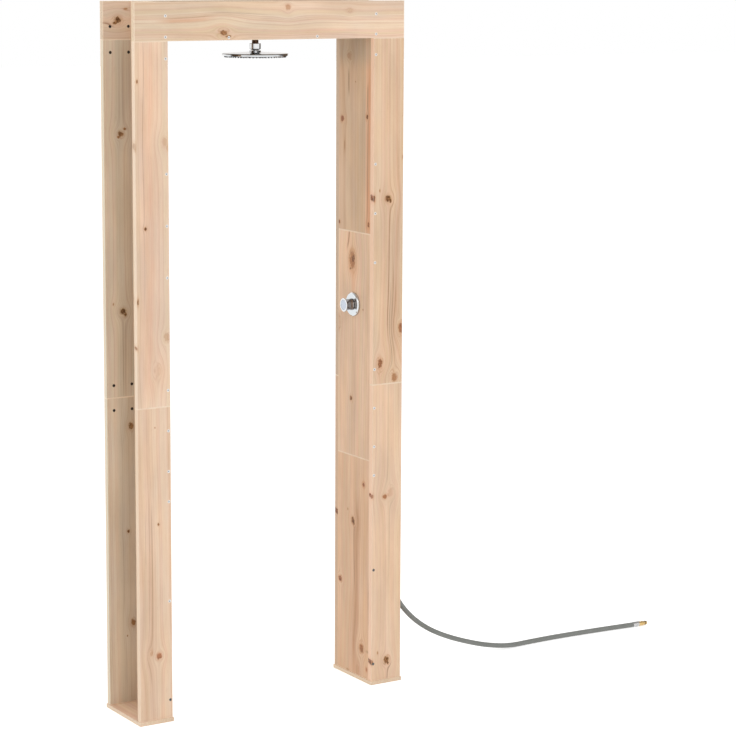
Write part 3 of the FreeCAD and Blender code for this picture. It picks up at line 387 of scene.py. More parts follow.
def pine(name, box, axes, centre, knots=(), streaks=(), stains=(), seed=1.0, pith=(20.0, 55.0), taper=0.012, wander=16.0, spacing=3.1, ring=0.42,
         bands=0.8, edge=1.0, end=1.0, painted_highlight=0.75, tint=(1.0, 1.0, 1.0), tone_and_shade_bands=()):
    """A board's own material. axes names its across, along and through axes; centre is (U, W) of its middle, in mm.
    A knot is (U, V, radius, its length over its width, how dark, how red, how far the grain flows round it)."""
    mat = bpy.data.materials.new(name)
    mat.use_nodes = True
    net = Net(mat.node_tree)
    mat.node_tree.nodes.clear()
    where = net.put("ShaderNodeTexCoord")
    p = net.parts(net.v("SCALE", where.outputs["Object"], 1000.0))
    n = net.parts(where.outputs["Normal"])
    a, l, w = ("xyz".index(c) for c in axes)
    lo, hi = [[c * 1000.0 for c in corner] for corner in box]
    U, V, W = net.m("SUBTRACT", p[a], centre[0]), p[l], net.m("SUBTRACT", p[w], centre[1])
    place = net.join(U, V, W)
    leaning = net.join(net.m("ADD", U, net.m("MULTIPLY", W, 0.12)), net.m("ADD", V, net.m("MULTIPLY", W, -0.30)), 0.0)
    psi, near, tone, warm = U, 9.0, 0.0, 0.3
    for knot in knots:
        u, v, r, longer, dark, red, flow = (*knot, *(0.5, 2.0)[len(knot) - 5:])
        k = net.put("ShaderNodeGroup", node_tree=knot_tree)
        for label, value in (("Place", leaning), ("Centre", (u, v, 0.0)), ("Shrink", (1.0 / r, 1.0 / (r * longer), 0.0)), ("Dark", dark),
                             ("Red", red), ("Flow", flow), ("Psi", psi), ("Near", near), ("Tone", tone), ("Warm", warm)):
            net.feed(k.inputs[label], value)
        psi, near, tone, warm = (k.outputs[x] for x in ("Psi", "Near", "Tone", "Warm"))
    sums = []
    for group in (streaks, stains):
        total = 0.0
        for at, width, v0, v1, strength in group:
            k = net.put("ShaderNodeGroup", node_tree=streak_tree)
            soft = max(4.0, min(60.0, (v1 - v0) * 0.25))
            for label, value in (("Psi", psi), ("V", V), ("Centre", at), ("Width", width), ("From", v0), ("To", v1), ("Soft", soft),
                                 ("Strength", strength), ("Sum", total)):
                net.feed(k.inputs[label], value)
            total = k.outputs["Sum"]
        sums.append(total)
    side_on, end_on = net.span(net.m("ABSOLUTE", n[a]), 0.55, 0.85), net.span(net.m("ABSOLUTE", n[l]), 0.6, 0.85)
    to_side = net.m("MINIMUM", net.m("SUBTRACT", p[a], lo[a]), net.m("SUBTRACT", hi[a], p[a]))
    to_end = net.m("MINIMUM", net.m("SUBTRACT", p[l], lo[l]), net.m("SUBTRACT", hi[l], p[l]))
    # Where the painted highlight lies: a thin band along the board's sides and ends, broken up by noise.
    line = net.m("MAXIMUM", net.m("MULTIPLY", net.span(to_side, 1.9, 0.5), net.m("SUBTRACT", 0.70, net.m("MULTIPLY", side_on, 0.70))),
                 net.m("MULTIPLY", net.span(to_end, 3.0, 0.8), net.m("SUBTRACT", 1.0, end_on)))
    highlight_breakup = net.span(net.noise(net.v("SCALE", place, 0.05), detail=3.0), 0.30, 0.60, 0.60, 1.0)
    # The board's tint times its bands. Each band multiplies the colour over a span of U, V or W. Some bands are the
    # board's own tone and some are painted shade, as noted at each board.
    tint_and_shade = net.join(*tint)
    for axis, x0, x1, (r_, g_, b_) in tone_and_shade_bands:
        part = net.span({"U": U, "V": V, "W": W}[axis], x0, x1)
        node = net.put("ShaderNodeMix", data_type="VECTOR")
        for i, value in ((0, part), (4, (1.0, 1.0, 1.0)), (5, (r_, g_, b_))):
            net.feed(node.inputs[i], value)
        tint_and_shade = net.v("MULTIPLY", tint_and_shade, node.outputs[1])
    g = net.put("ShaderNodeGroup", node_tree=pine_tree)
    for label, value in (("Place", place), ("Psi", psi), ("Near", near), ("Tone", tone), ("Warm", warm), ("Streak", sums[0]), ("Stain", sums[1]),
                         ("Seed", seed), ("Pith U", pith[0]), ("Pith W", pith[1]), ("Taper", taper), ("Wander", wander), ("Spacing", spacing),
                         ("Ring", ring), ("Bands", bands), ("Edge", side_on), ("End", end_on),
                         ("Painted Highlight", net.m("MULTIPLY", net.m("MULTIPLY", line, highlight_breakup), painted_highlight)), ("Edge Light", edge), ("End Light", end), ("Tint", tint_and_shade)):
        net.feed(g.inputs[label], value)
    shader = net.put("ShaderNodeBsdfPrincipled", {"Base Color": g.outputs["Color"], "Roughness": g.outputs["Rough"],
                                                  "Normal": net.bump(g.outputs["Height"], 0.45, 0.00035)})
    shader.inputs["Specular IOR Level"].default_value = 0.24
    net.put("ShaderNodeOutputMaterial", {"Surface": shader.outputs[0]})
    return mat


def chance_knots(seed, lo, hi, half, count):
    """Knots for a board whose face the photograph doesn't show."""
    r = random.Random(seed)
    found = []
    for i in range(count):
        v = lo + (hi - lo) * (i + r.uniform(0.15, 0.85)) / count
        size = r.choice((2.4, 4.0, 5.5, 8.0, 10.0)) * r.uniform(0.85, 1.15)
        found.append((r.uniform(-half, half) * 0.85, v, size, r.uniform(1.0, 1.7), r.uniform(0.15, 0.95), r.uniform(0.0, 1.0), r.uniform(1.6, 2.6)))
        if r.random() < 0.3:
            found.append((found[-1][0] + r.uniform(-18, 18), v + r.uniform(14, 34), r.uniform(1.6, 3.2), r.uniform(1.0, 1.5), r.uniform(0.3, 0.9), 0.4, 1.6))
    return found


FRONT_Y, BACK_Y = -102.75, 102.75
POST_X, WEB_X = 406.75, 361.25
boards = {}

boards["beam_front_plank"] = dict(
    axes="zxy", centre=(2093.5, FRONT_Y), seed=3.2, pith=(-110.0, 60.0), taper=0.006, wander=24.0, spacing=6.5, ring=0.42, bands=0.9, end=1.04,
    knots=[(-36.0, -166.0, 7.0, 1.5, 0.62, 0.3, 3.4), (-46.0, -150.0, 3.5, 2.2, 0.45, 0.2, 1.4), (38.0, 52.0, 9.0, 0.9, 0.24, 0.7, 1.8),
           (26.0, 268.0, 6.0, 1.3, 0.05, 0.1, 1.6)],
    streaks=[(8.0, 1.4, -345.0, -210.0, 0.34), (16.0, 1.6, -190.0, -30.0, 0.26), (-51.0, 1.3, -140.0, -90.0, 0.55)],
    stains=[(0.0, 5.0, -370.0, -205.0, 0.70), (-30.0, 6.0, 20.0, 300.0, 0.16)],
    tint=(0.99, 0.99, 0.96), tone_and_shade_bands=(("V", -120.0, 160.0, (1.09, 1.09, 1.14)),),
)
boards["beam_back_plank"] = dict(
    axes="zxy", centre=(2093.5, BACK_Y), seed=8.1, pith=(80.0, -60.0), taper=0.004, wander=16.0, spacing=4.0, bands=0.6, tone_and_shade_bands=(("W", 6.0, -6.0, (0.89, 0.91, 0.92)),),
    knots=[(0.0, -409.0, 8.5, 1.1, 0.92, 0.15, 2.4), (-9.0, -418.0, 4.0, 1.6, 0.70, 0.1, 1.4), (31.4, -382.0, 2.8, 2.0, 0.30, 0.2, 1.6)]
    + chance_knots(31, -330, 430, 46, 5),
    streaks=[(-5.5, 2.0, -461.0, -424.0, 0.60)],
)
boards["beam_underside_plank"] = dict(
    axes="yxz", centre=(0.0, 2045.75), seed=5.7, pith=(-60.0, 50.0), spacing=3.4, knots=chance_knots(12, -340, 340, 80, 6),
)
boards["left_front_plank_upper"] = dict(
    axes="xzy", centre=(-POST_X, FRONT_Y), seed=1.4, pith=(-90.0, 70.0), taper=0.002, wander=5.0, spacing=3.4, ring=0.24, bands=0.55,
    knots=[(-47.0, 1926.0, 2.2, 2.6, 0.75, 0.3, 1.6), (40.0, 1748.0, 8.5, 1.5, 0.15, 0.4, 2.2), (52.0, 1730.0, 6.0, 1.6, 0.13, 0.4, 1.8),
           (-24.1, 1498.0, 4.0, 1.2, 0.95, 0.35, 1.8), (-50.5, 1284.0, 2.4, 3.6, 0.80, 0.2, 1.6), (42.0, 1174.0, 7.5, 1.6, 0.17, 0.2, 2.4),
           (-57.0, 1146.0, 4.0, 1.5, 0.45, 0.4, 1.6), (10.0, 1076.0, 10.0, 1.8, 0.05, 0.4, 2.0), (-56.0, 1735.0, 3.0, 4.0, 0.28, 0.1, 1.4)],
    streaks=[(-24.5, 1.3, 1506.0, 2036.0, 0.40), (-24.5, 1.3, 1270.0, 1480.0, 0.22), (46.0, 1.6, 1060.0, 1160.0, 0.22)],
    stains=[(-8.0, 24.0, 1000.0, 2036.0, 0.46)],
    tint=(1.07, 1.06, 1.07),
)
boards["left_front_plank_lower"] = dict(
    axes="xzy", centre=(-POST_X, FRONT_Y), seed=6.3, pith=(-60.0, 60.0), taper=0.006, wander=12.0, spacing=4.2, ring=0.30, bands=0.55,
    knots=[(1.5, 907.0, 1.4, 1.5, 0.50, 0.9, 1.6), (10.7, 614.0, 2.6, 1.4, 0.60, 0.3, 1.8), (9.0, 211.0, 8.0, 1.1, 0.55, 0.95, 2.6),
           (-16.0, 222.0, 5.0, 1.6, 0.18, 0.7, 2.2)],
    streaks=[(-10.0, 1.7, 240.0, 640.0, 0.42), (-19.0, 1.5, 300.0, 690.0, 0.26), (-14.0, 1.7, 130.0, 205.0, 0.25), (-31.0, 1.4, 480.0, 640.0, 0.24)],
    tint=(1.02, 0.98, 0.96),
)
boards["left_back_plank_upper"] = dict(
    axes="xzy", centre=(-POST_X, BACK_Y), seed=9.4, pith=(80.0, -60.0), taper=0.003, wander=8.0, spacing=3.6, ring=0.34, bands=0.45,
    knots=[(0.0, 1760.0, 8.0, 1.0, 0.62, 0.35, 2.6), (14.0, 1775.0, 4.5, 0.8, 0.45, 0.4, 1.5), (-8.0, 1752.0, 4.0, 1.0, 0.30, 0.5, 1.4),
           (2.0, 1228.0, 8.5, 0.95, 0.95, 0.15, 2.8), (10.0, 1218.0, 4.0, 1.6, 0.85, 0.1, 1.3), (-30.0, 1252.0, 2.2, 1.6, 0.32, 0.3, 1.6)],
    streaks=[(3.0, 2.2, 985.0, 1212.0, 0.46), (9.5, 1.8, 1000.0, 1212.0, 0.30), (8.5, 2.2, 1786.0, 1990.0, 0.36), (-2.0, 1.8, 1790.0, 2000.0, 0.22)],
    # Painted shade in the channel: the inner face is greyer, and darker in a band towards the web.
    tone_and_shade_bands=(("W", 6.0, -6.0, (0.92, 1.03, 1.08)), ("U", -26.0, -4.0, (0.88, 0.905, 0.91))),
)
boards["left_back_plank_lower"] = dict(
    axes="xzy", centre=(-POST_X, BACK_Y), seed=4.6, pith=(-90.0, -60.0), taper=0.003, wander=8.0, spacing=3.6, ring=0.34, bands=0.45,
    knots=[(25.0, 876.0, 7.5, 1.3, 0.60, 0.25, 2.0), (13.0, 551.0, 4.0, 1.2, 0.85, 0.3, 2.0), (26.0, 263.0, 7.0, 1.4, 0.50, 0.3, 2.0),
           (6.0, 224.0, 1.8, 1.3, 0.50, 0.3, 1.6)],
    streaks=[(-2.0, 2.4, 300.0, 560.0, 0.16), (4.0, 2.4, 40.0, 200.0, 0.16)],
    # Painted shade in the channel: the inner face is greyer, and darker in a band towards the web.
    tone_and_shade_bands=(("W", 6.0, -6.0, (0.92, 1.03, 1.08)), ("U", -26.0, -4.0, (0.88, 0.905, 0.91))),
)
boards["right_front_plank_upper"] = dict(
    axes="xzy", centre=(POST_X, FRONT_Y), seed=2.9, pith=(-100.0, 60.0), taper=0.003, wander=9.0, spacing=3.8, ring=0.44, bands=0.8,
    knots=[(-2.0, 1546.0, 8.5, 1.1, 0.95, 0.10, 2.4), (7.0, 1540.0, 3.6, 1.8, 0.85, 0.1, 1.2), (-32.0, 1572.0, 1.6, 2.6, 0.32, 0.3, 1.5),
           (47.0, 1140.0, 7.0, 2.0, 0.62, 0.80, 2.8), (-28.0, 1033.0, 7.0, 2.0, 0.66, 0.75, 3.4), (24.0, 985.0, 9.0, 1.4, 0.34, 0.4, 3.2),
           (52.5, 1673.0, 2.2, 2.4, 0.55, 0.3, 1.6), (-54.0, 1547.0, 4.6, 2.2, 1.0, 0.8, 1.5)],
    streaks=[(4.6, 1.8, 1120.0, 1530.0, 0.52), (12.0, 1.6, 1020.0, 1250.0, 0.50), (20.0, 2.0, 1040.0, 1330.0, 0.40), (28.0, 1.8, 1090.0, 1270.0, 0.34), (34.0, 2.2, 1360.0, 1700.0, 0.20), (22.0, 9.0, 1120.0, 1720.0, 0.13)],
    stains=[(26.0, 12.0, 1000.0, 2036.0, 0.16)],
    tint=(1.0, 0.94, 0.87), tone_and_shade_bands=(("U", -53.4, -54.1, (1.14, 1.06, 1.10)),),
)
boards["right_front_plank_lower"] = dict(
    axes="xzy", centre=(POST_X, FRONT_Y), seed=7.7, pith=(-70.0, 60.0), taper=0.004, wander=9.0, spacing=4.0, ring=0.34, bands=0.6,
    knots=[(-7.5, 607.0, 7.0, 0.9, 0.50, 0.65, 2.4), (13.0, 618.0, 9.0, 1.4, 0.13, 0.75, 2.4), (0.7, 77.0, 8.5, 1.15, 0.85, 0.10, 2.6),
           (7.0, 66.0, 3.4, 1.3, 0.70, 0.1, 1.2), (-31.9, 104.0, 2.2, 2.2, 0.30, 0.2, 1.6), (-54.5, 75.0, 4.8, 1.6, 0.9, 0.7, 1.5),
           (-55.0, 612.0, 4.2, 1.6, 0.75, 0.9, 1.5)],
    streaks=[(4.0, 1.6, 8.0, 64.0, 0.62), (10.0, 1.6, 380.0, 590.0, 0.26), (4.0, 1.6, 640.0, 950.0, 0.22), (-38.0, 1.6, 400.0, 900.0, 0.14)],
    tint=(1.08, 1.02, 0.97), tone_and_shade_bands=(("U", -53.4, -54.1, (1.06, 0.98, 1.0)),),
)
boards["right_back_plank_upper"] = dict(
    axes="xzy", centre=(POST_X, BACK_Y), seed=11.3, pith=(80.0, -60.0), spacing=3.4, knots=chance_knots(71, 990, 2010, 46, 6), edge=0.80,
    tone_and_shade_bands=(("U", -53.0, -54.0, (0.90, 0.85, 0.83)),),
)
boards["right_back_plank_lower"] = dict(
    axes="xzy", centre=(POST_X, BACK_Y), seed=12.8, pith=(-40.0, -52.0), spacing=3.4,
    knots=chance_knots(72, 60, 930, 46, 5) + [(-54.0, 523.0, 5.4, 1.5, 1.0, 0.6, 1.6)], edge=0.82,
    tone_and_shade_bands=(("U", -53.0, -54.0, (0.97, 0.85, 0.79)),),
)
boards["right_side_plank_upper"] = dict(
    axes="yzx", centre=(0.0, WEB_X), seed=14.6, pith=(110.0, 64.0), taper=0.004, wander=10.0, spacing=4.4, ring=0.30, bands=0.5,
    knots=[(29.0, 1981.0, 12.0, 0.9, 0.17, 0.8, 2.0), (-6.0, 1902.0, 1.6, 0.9, 0.55, 0.3, 1.6), (71.4, 1784.0, 8.5, 1.0, 0.62, 0.95, 2.2),
           (-75.0, 1797.0, 6.0, 1.2, 1.0, 0.3, 1.7), (-84.0, 1464.0, 5.6, 1.3, 1.0, 0.5, 1.6), (90.0, 1458.0, 5.6, 1.1, 0.75, 1.0, 1.6),
           (58.0, 1702.0, 3.0, 5.0, 0.20, 0.0, 1.3)],
    streaks=[(35.0, 3.0, 1862.0, 1934.0, 0.66), (-75.0, 2.4, 1450.0, 1790.0, 0.50), (-72.0, 2.4, 1812.0, 1890.0, 0.66)],
    stains=[(-83.0, 13.0, 1420.0, 1960.0, 0.85)],
    # The inner face is tinted darker and browner. The V band darkens the top under the beam as painted shadow of the
    # beam. The U bands are the board's own lighter strip.
    tone_and_shade_bands=(("W", 6.0, -6.0, (0.885, 0.825, 0.745)), ("V", 1925.0, 1995.0, (0.79, 0.86, 0.91)), ("U", -60.0, -68.0, (1.15, 1.10, 1.05)), ("U", -62.0, -66.0, (1.03, 1.03, 1.04)), ("U", -69.0, -73.0, (0.97, 0.97, 0.96))),
)
boards["right_side_plank_middle"] = dict(
    axes="yzx", centre=(0.0, WEB_X), seed=16.9, pith=(-130.0, 70.0), taper=0.004, wander=18.0, spacing=6.0, ring=0.36, bands=0.9,
    knots=[(10.0, 1345.0, 17.0, 1.45, 0.44, 0.45, 1.8), (4.0, 1350.0, 5.0, 1.3, 0.85, 0.3, 1.2), (20.0, 1318.0, 4.0, 0.7, 0.90, 0.2, 1.2),
           (14.5, 906.0, 6.0, 1.15, 1.0, 0.2, 2.2), (-54.4, 1196.0, 2.2, 0.9, 0.40, 0.3, 1.6), (88.0, 1140.0, 11.0, 1.9, 0.10, 0.0, 1.4)],
    streaks=[(26.0, 3.2, 1380.0, 1436.0, 0.66), (-14.0, 1.8, 1350.0, 1400.0, 0.34), (-3.0, 12.0, 760.0, 1180.0, 0.10)],
    stains=[(26.0, 7.0, 1370.0, 1436.0, 0.4), (8.0, 10.0, 1240.0, 1320.0, 0.45)],
    tone_and_shade_bands=(("W", 6.0, -6.0, (1.07, 1.01, 0.96)),),
)
boards["right_side_plank_lower"] = dict(
    axes="yzx", centre=(0.0, WEB_X), seed=18.2, pith=(-110.0, 60.0), taper=0.004, wander=14.0, spacing=4.6, ring=0.40, bands=0.8,
    knots=[(-63.0, 641.0, 6.0, 1.0, 0.85, 0.9, 2.2), (77.0, 308.0, 8.5, 0.95, 0.72, 0.95, 2.6), (-0.4, 515.0, 8.0, 1.1, 0.95, 0.15, 2.2),
           (-6.0, 505.0, 3.5, 1.8, 0.75, 0.1, 1.3), (32.0, 545.0, 2.6, 1.4, 0.26, 0.2, 1.5), (-54.0, 108.0, 9.5, 1.3, 0.50, 0.45, 2.6),
           (-84.0, 45.0, 5.0, 1.4, 0.34, 1.0, 1.8), (30.0, 12.0, 7.0, 0.8, 0.70, 0.2, 2.0), (-30.0, 30.0, 9.0, 2.0, 0.10, 0.2, 1.8)],
    streaks=[(-4.0, 2.0, 285.0, 498.0, 0.55), (-86.0, 2.2, 105.0, 320.0, 0.66), (4.0, 1.6, 60.0, 300.0, 0.20), (-17.0, 11.0, 60.0, 580.0, 0.30), (-30.0, 2.2, 60.0, 250.0, 0.26), (-72.0, 16.0, 98.0, 106.0, 0.42)],
    stains=[(-20.0, 10.0, 15.0, 120.0, 0.4), (-18.0, 11.0, 100.0, 560.0, 0.35)],
    tone_and_shade_bands=(("W", 6.0, -6.0, (1.02, 0.92, 0.83)), ("U", 6.0, -8.0, (0.96, 0.95, 0.94)), ("U", -30.0, -44.0, (1.05, 1.05, 1.06))),
)
for i, (word, z0, z1) in enumerate((("upper", 1440, 2140), ("middle", 730, 1420), ("lower", 20, 715))):
    boards["left_side_plank_" + word] = dict(
        axes="yzx", centre=(0.0, -WEB_X), seed=20.0 + 1.9 * i, pith=(-85.0 + 70.0 * i, -56.0), spacing=4.0, knots=chance_knots(90 + i, z0, z1, 82, 4),
    )
for i, (word, sign) in enumerate((("left", -1.0), ("right", 1.0))):
    boards[word + "_base_plate"] = dict(
        axes="xyz", centre=(sign * 406.5, 6.0), seed=30.0 + 2.3 * i, pith=(-80.0, 30.0), spacing=3.0, knots=[], end=0.98, edge=0.98, painted_highlight=0.5,
    )

for name, facts in boards.items():
    nodes[name].material_slots[0].material = pine("pine." + name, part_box(name), **facts)


# ------------------------------------------------------------------ other materials
def plain_start(name):
    mat = bpy.data.materials.new(name)
    mat.use_nodes = True
    mat.node_tree.nodes.clear()
    net = Net(mat.node_tree)
    where = net.put("ShaderNodeTexCoord").outputs["Object"]
    return mat, net, where


def finish_shader(net, colour, rough, metallic=0.0, height=None, bump=0.2, distance=0.0002, specular=0.5, coat=0.0, coat_rough=0.05, aniso=0.0):
    ins = {"Base Color": colour, "Roughness": rough}
    if height is not None:
        ins["Normal"] = net.bump(height, bump, distance)
    shader = net.put("ShaderNodeBsdfPrincipled", ins)
    shader.inputs["Metallic"].default_value = metallic
    shader.inputs["Specular IOR Level"].default_value = specular
    shader.inputs["Coat Weight"].default_value = coat
    shader.inputs["Coat Roughness"].default_value = coat_rough
    shader.inputs["Anisotropic"].default_value = aniso
    net.put("ShaderNodeOutputMaterial", {"Surface": shader.outputs[0]})


def metal(name, base, tarnish, rough=(0.16, 0.34), patch_mm=9.0, scratch=0.25, mottle=0.5, bump=0.15):
    """Worked metal: a clean tone and a duller one in soft patches, fine scratches, uneven gloss."""
    mat, net, where = plain_start(name)
    cloud = net.noise(where, 1000.0 / patch_mm, 4.0, 0.6)
    fine = net.noise(where, 1000.0 / 0.7, 3.0, 0.6)
    scratches = net.noise(net.v("MULTIPLY", where, (2600.0, 2600.0, 170.0)), 1.0, 2.0, 0.6, 0.8)
    colour = net.mix(net.span(cloud, 0.36, 0.68, 0.0, mottle), base, tarnish)
    colour = net.mix(net.span(scratches, 0.60, 0.74, 0.0, scratch), colour, tarnish)
    r = net.span(cloud, 0.3, 0.7, rough[0], rough[1])
    r = net.m("ADD", r, net.m("MULTIPLY", net.m("SUBTRACT", fine, 0.5), 0.10))
    height = net.m("ADD", net.m("MULTIPLY", fine, 0.4), net.m("MULTIPLY", scratches, 0.6))
    finish_shader(net, colour, r, metallic=1.0, height=height, bump=bump, distance=0.00005)
    return mat


def moulded(name, base, shade, rough=(0.40, 0.52), grain_mm=0.5, patch_mm=14.0, bump=0.18, specular=0.45):
    """Moulded plastic or rubber: a faint grain, a slow drift of tone, a slightly uneven gloss."""
    mat, net, where = plain_start(name)
    cloud = net.noise(where, 1000.0 / patch_mm, 3.0, 0.55)
    grain = net.noise(where, 1000.0 / grain_mm, 2.0, 0.6)
    colour = net.mix(net.span(cloud, 0.32, 0.70, 0.0, 0.55), base, shade)
    colour = net.mix(net.span(grain, 0.58, 0.75, 0.0, 0.25), colour, shade)
    finish_shader(net, colour, net.span(grain, 0.3, 0.7, rough[0], rough[1]), height=grain, bump=bump, distance=0.00006, specular=specular)
    return mat


def chrome(name, base, shade, rough=(0.035, 0.10)):
    """Polished plate: near-white metal, with faint wipe marks in its gloss and water marks."""
    mat, net, where = plain_start(name)
    wipe = net.noise(net.v("MULTIPLY", where, (60.0, 60.0, 240.0)), 1.0, 4.0, 0.65, 0.6)
    spots = net.put("ShaderNodeTexVoronoi", {"Vector": where, "Scale": 330.0}, feature="DISTANCE_TO_EDGE").outputs[0]
    marks = net.span(spots, 0.0, 0.05, 1.0, 0.0)
    colour = net.mix(net.span(wipe, 0.42, 0.72, 0.0, 0.35), base, shade)
    r = net.m("ADD", net.span(wipe, 0.35, 0.7, rough[0], rough[1]), net.m("MULTIPLY", marks, 0.02))
    finish_shader(net, colour, r, metallic=1.0)
    return mat


finish_of = {
    "polished_chrome": chrome("polished_chrome", (0.545, 0.570, 0.590, 1), (0.485, 0.510, 0.530, 1)),
    "satin_chrome": chrome("satin_chrome", (0.43, 0.47, 0.53, 1), (0.38, 0.42, 0.47, 1), (0.20, 0.30)),
    "zinc_screws": metal("zinc_screws", (0.50, 0.50, 0.495, 1), (0.36, 0.365, 0.37, 1), (0.22, 0.40), 4.0),
    "galvanised_plate": metal("galvanised_plate", (0.385, 0.395, 0.405, 1), (0.275, 0.29, 0.305, 1), (0.30, 0.52), 11.0, 0.2, 0.8),
    "dark_insert": metal("dark_insert", (0.045, 0.036, 0.030, 1), (0.018, 0.014, 0.012, 1), (0.45, 0.65), 3.0),
    "valve_brass": metal("valve_brass", (0.56, 0.40, 0.175, 1), (0.38, 0.25, 0.10, 1), (0.20, 0.38), 12.0),
    "dark_thread": metal("dark_thread", (0.30, 0.215, 0.165, 1), (0.13, 0.095, 0.075, 1), (0.32, 0.52), 5.0, 0.2, 0.8),
    "copper_pipe": metal("copper_pipe", (0.62, 0.30, 0.18, 1), (0.40, 0.175, 0.10, 1), (0.20, 0.40), 26.0, 0.2, 0.8),
    "stainless_clip": metal("stainless_clip", (0.46, 0.46, 0.46, 1), (0.34, 0.345, 0.35, 1), (0.18, 0.30), 6.0),
    "white_plastic": moulded("white_plastic", lin(232, 232, 226), lin(214, 213, 206)),
    "ceramic": moulded("ceramic", lin(243, 240, 232), lin(228, 224, 214), (0.12, 0.20), 0.3),
    "black_rubber": moulded("black_rubber", lin(36, 36, 37), lin(24, 24, 25), (0.50, 0.65)),
    "grey_silicone": moulded("grey_silicone", lin(36, 37, 39), lin(26, 27, 29), (0.42, 0.55), 0.4, 8.0),
    "fibre": moulded("fibre", lin(150, 66, 48), lin(120, 50, 38), (0.60, 0.75), 0.35, 5.0),
}


def hose_skin():
    """Grey braided garden hose: criss-cross yarn that shows faintly through a satin skin, with scuffs."""
    mat, net, where = plain_start("grey_hose")
    uv = net.put("ShaderNodeUVMap", uv_map="along").outputs[0]
    s, a = net.parts(uv)[:2]
    lengthwise = net.m("MULTIPLY", s, 1.0 / 0.0062)
    turn = net.m("MULTIPLY", a, 8.0)
    yarn = None
    for sign in (1.0, -1.0):
        x = net.m("ADD", lengthwise, net.m("MULTIPLY", turn, sign))
        wave = net.m("ABSOLUTE", net.m("SUBTRACT", net.m("MULTIPLY", net.m("FRACT", x), 2.0), 1.0))
        thread = net.span(wave, 0.62, 0.92)
        yarn = thread if yarn is None else net.m("MAXIMUM", yarn, thread)
    cloud = net.noise(where, 34.0, 4.0, 0.6)
    scuffs = net.noise(net.v("MULTIPLY", where, (160.0, 700.0, 700.0)), 1.0, 3.0, 0.6, 0.4)
    colour = net.mix(net.span(cloud, 0.3, 0.7, 0.0, 0.7), lin(131, 133, 129), lin(120, 122, 118))
    colour = net.mix(net.m("MULTIPLY", yarn, 0.16), colour, lin(160, 162, 158))
    colour = net.mix(net.span(scuffs, 0.62, 0.76, 0.0, 0.35), colour, lin(98, 99, 96))
    rough = net.m("ADD", 0.42, net.m("MULTIPLY", net.m("SUBTRACT", cloud, 0.5), 0.16))
    finish_shader(net, colour, rough, height=net.m("ADD", net.m("MULTIPLY", yarn, 0.5), net.m("MULTIPLY", scuffs, 0.3)), bump=0.25, distance=0.00012, specular=0.4)
    return mat


def fastener(name, face, dark, axis, beyond):
    """A fastener's metal: the plated head where it lies past a depth along an axis, and painted shade, a near-black, in
    the recess and down the thread.
    """
    mat, net, where = plain_start(name)
    depth = net.m("ABSOLUTE", net.parts(where)["xyz".index(axis)])
    outside_recess = net.m("GREATER_THAN", depth, beyond)
    cloud = net.noise(where, 420.0, 3.0, 0.6)
    fine = net.noise(where, 1600.0, 2.0, 0.6)
    colour = net.mix(net.span(cloud, 0.35, 0.70, 0.0, 0.55), face, tuple(c * 0.72 for c in face[:3]) + (1.0,))
    colour = net.mix(outside_recess, dark, colour)
    at = net.parts(where)
    # Painted shadow: front screws low down are made near-black, up to a greater height where x is past 0.30 m.
    below = net.m("ADD", 0.12, net.m("MULTIPLY", net.m("GREATER_THAN", at[0], 0.30), 0.33))
    painted_shadow = net.m("MULTIPLY", net.m("LESS_THAN", at[2], below), net.m("LESS_THAN", at[1], 0.0))
    colour = net.mix(net.m("MULTIPLY", painted_shadow, 0.86), colour, (0.05, 0.052, 0.05, 1.0))
    rough = net.m("ADD", net.span(cloud, 0.3, 0.7, 0.24, 0.42), net.m("MULTIPLY", net.m("SUBTRACT", 1.0, outside_recess), 0.25))
    finish_shader(net, colour, rough, metallic=1.0, height=fine, bump=0.15, distance=0.00004)
    return mat


def knob_metal():
    """The knob's plate: a bright turned end ring and a side painted dark brown as a painted reflection of the shaded
    wood, with fine turning marks.
    """
    mat, net, where = plain_start("knob_chrome_painted_reflection")
    end_ring = net.span(net.m("ABSOLUTE", net.parts(net.put("ShaderNodeTexCoord").outputs["Normal"])[0]), 0.80, 0.92)
    marks = net.noise(net.v("MULTIPLY", where, (5200.0, 60.0, 60.0)), 1.0, 2.0, 0.5)
    wipe = net.noise(where, 120.0, 3.0, 0.6)
    # Painted reflection: the side's dark brown stands in for the shaded wood it mirrors.
    side = net.mix(net.span(wipe, 0.35, 0.7, 0.0, 0.6), (0.25, 0.225, 0.210, 1), (0.17, 0.153, 0.145, 1))
    colour = net.mix(end_ring, side, (0.62, 0.63, 0.64, 1))
    rough = net.m("ADD", net.span(wipe, 0.3, 0.7, 0.06, 0.14), net.m("MULTIPLY", marks, 0.05))
    finish_shader(net, colour, rough, metallic=1.0, height=marks, bump=0.05, distance=0.00003)
    return mat


hose.data.materials.append(hose_skin())
for row in frame["record"]["subparts"]:
    node = nodes[row["node"]]
    if row["material_slot"] in finish_of:
        for s in node.material_slots:
            s.material = finish_of[row["material_slot"]]

# The second colour is painted shade, the near-black of the screws' sockets and threads.
ZINC, RECESS_SHADE = (0.60, 0.597, 0.590, 1), (0.100, 0.097, 0.094, 1)
for word, axis, beyond in (("front_plank_screws", "y", 0.1110), ("back_plank_screws", "y", 0.1110), ("splice_bolts", "y", 0.1134)):
    for s in nodes[word].material_slots:
        s.material = fastener(word, ZINC, RECESS_SHADE, axis, beyond)
for s in nodes["tap_knob"].material_slots:
    s.material = knob_metal()


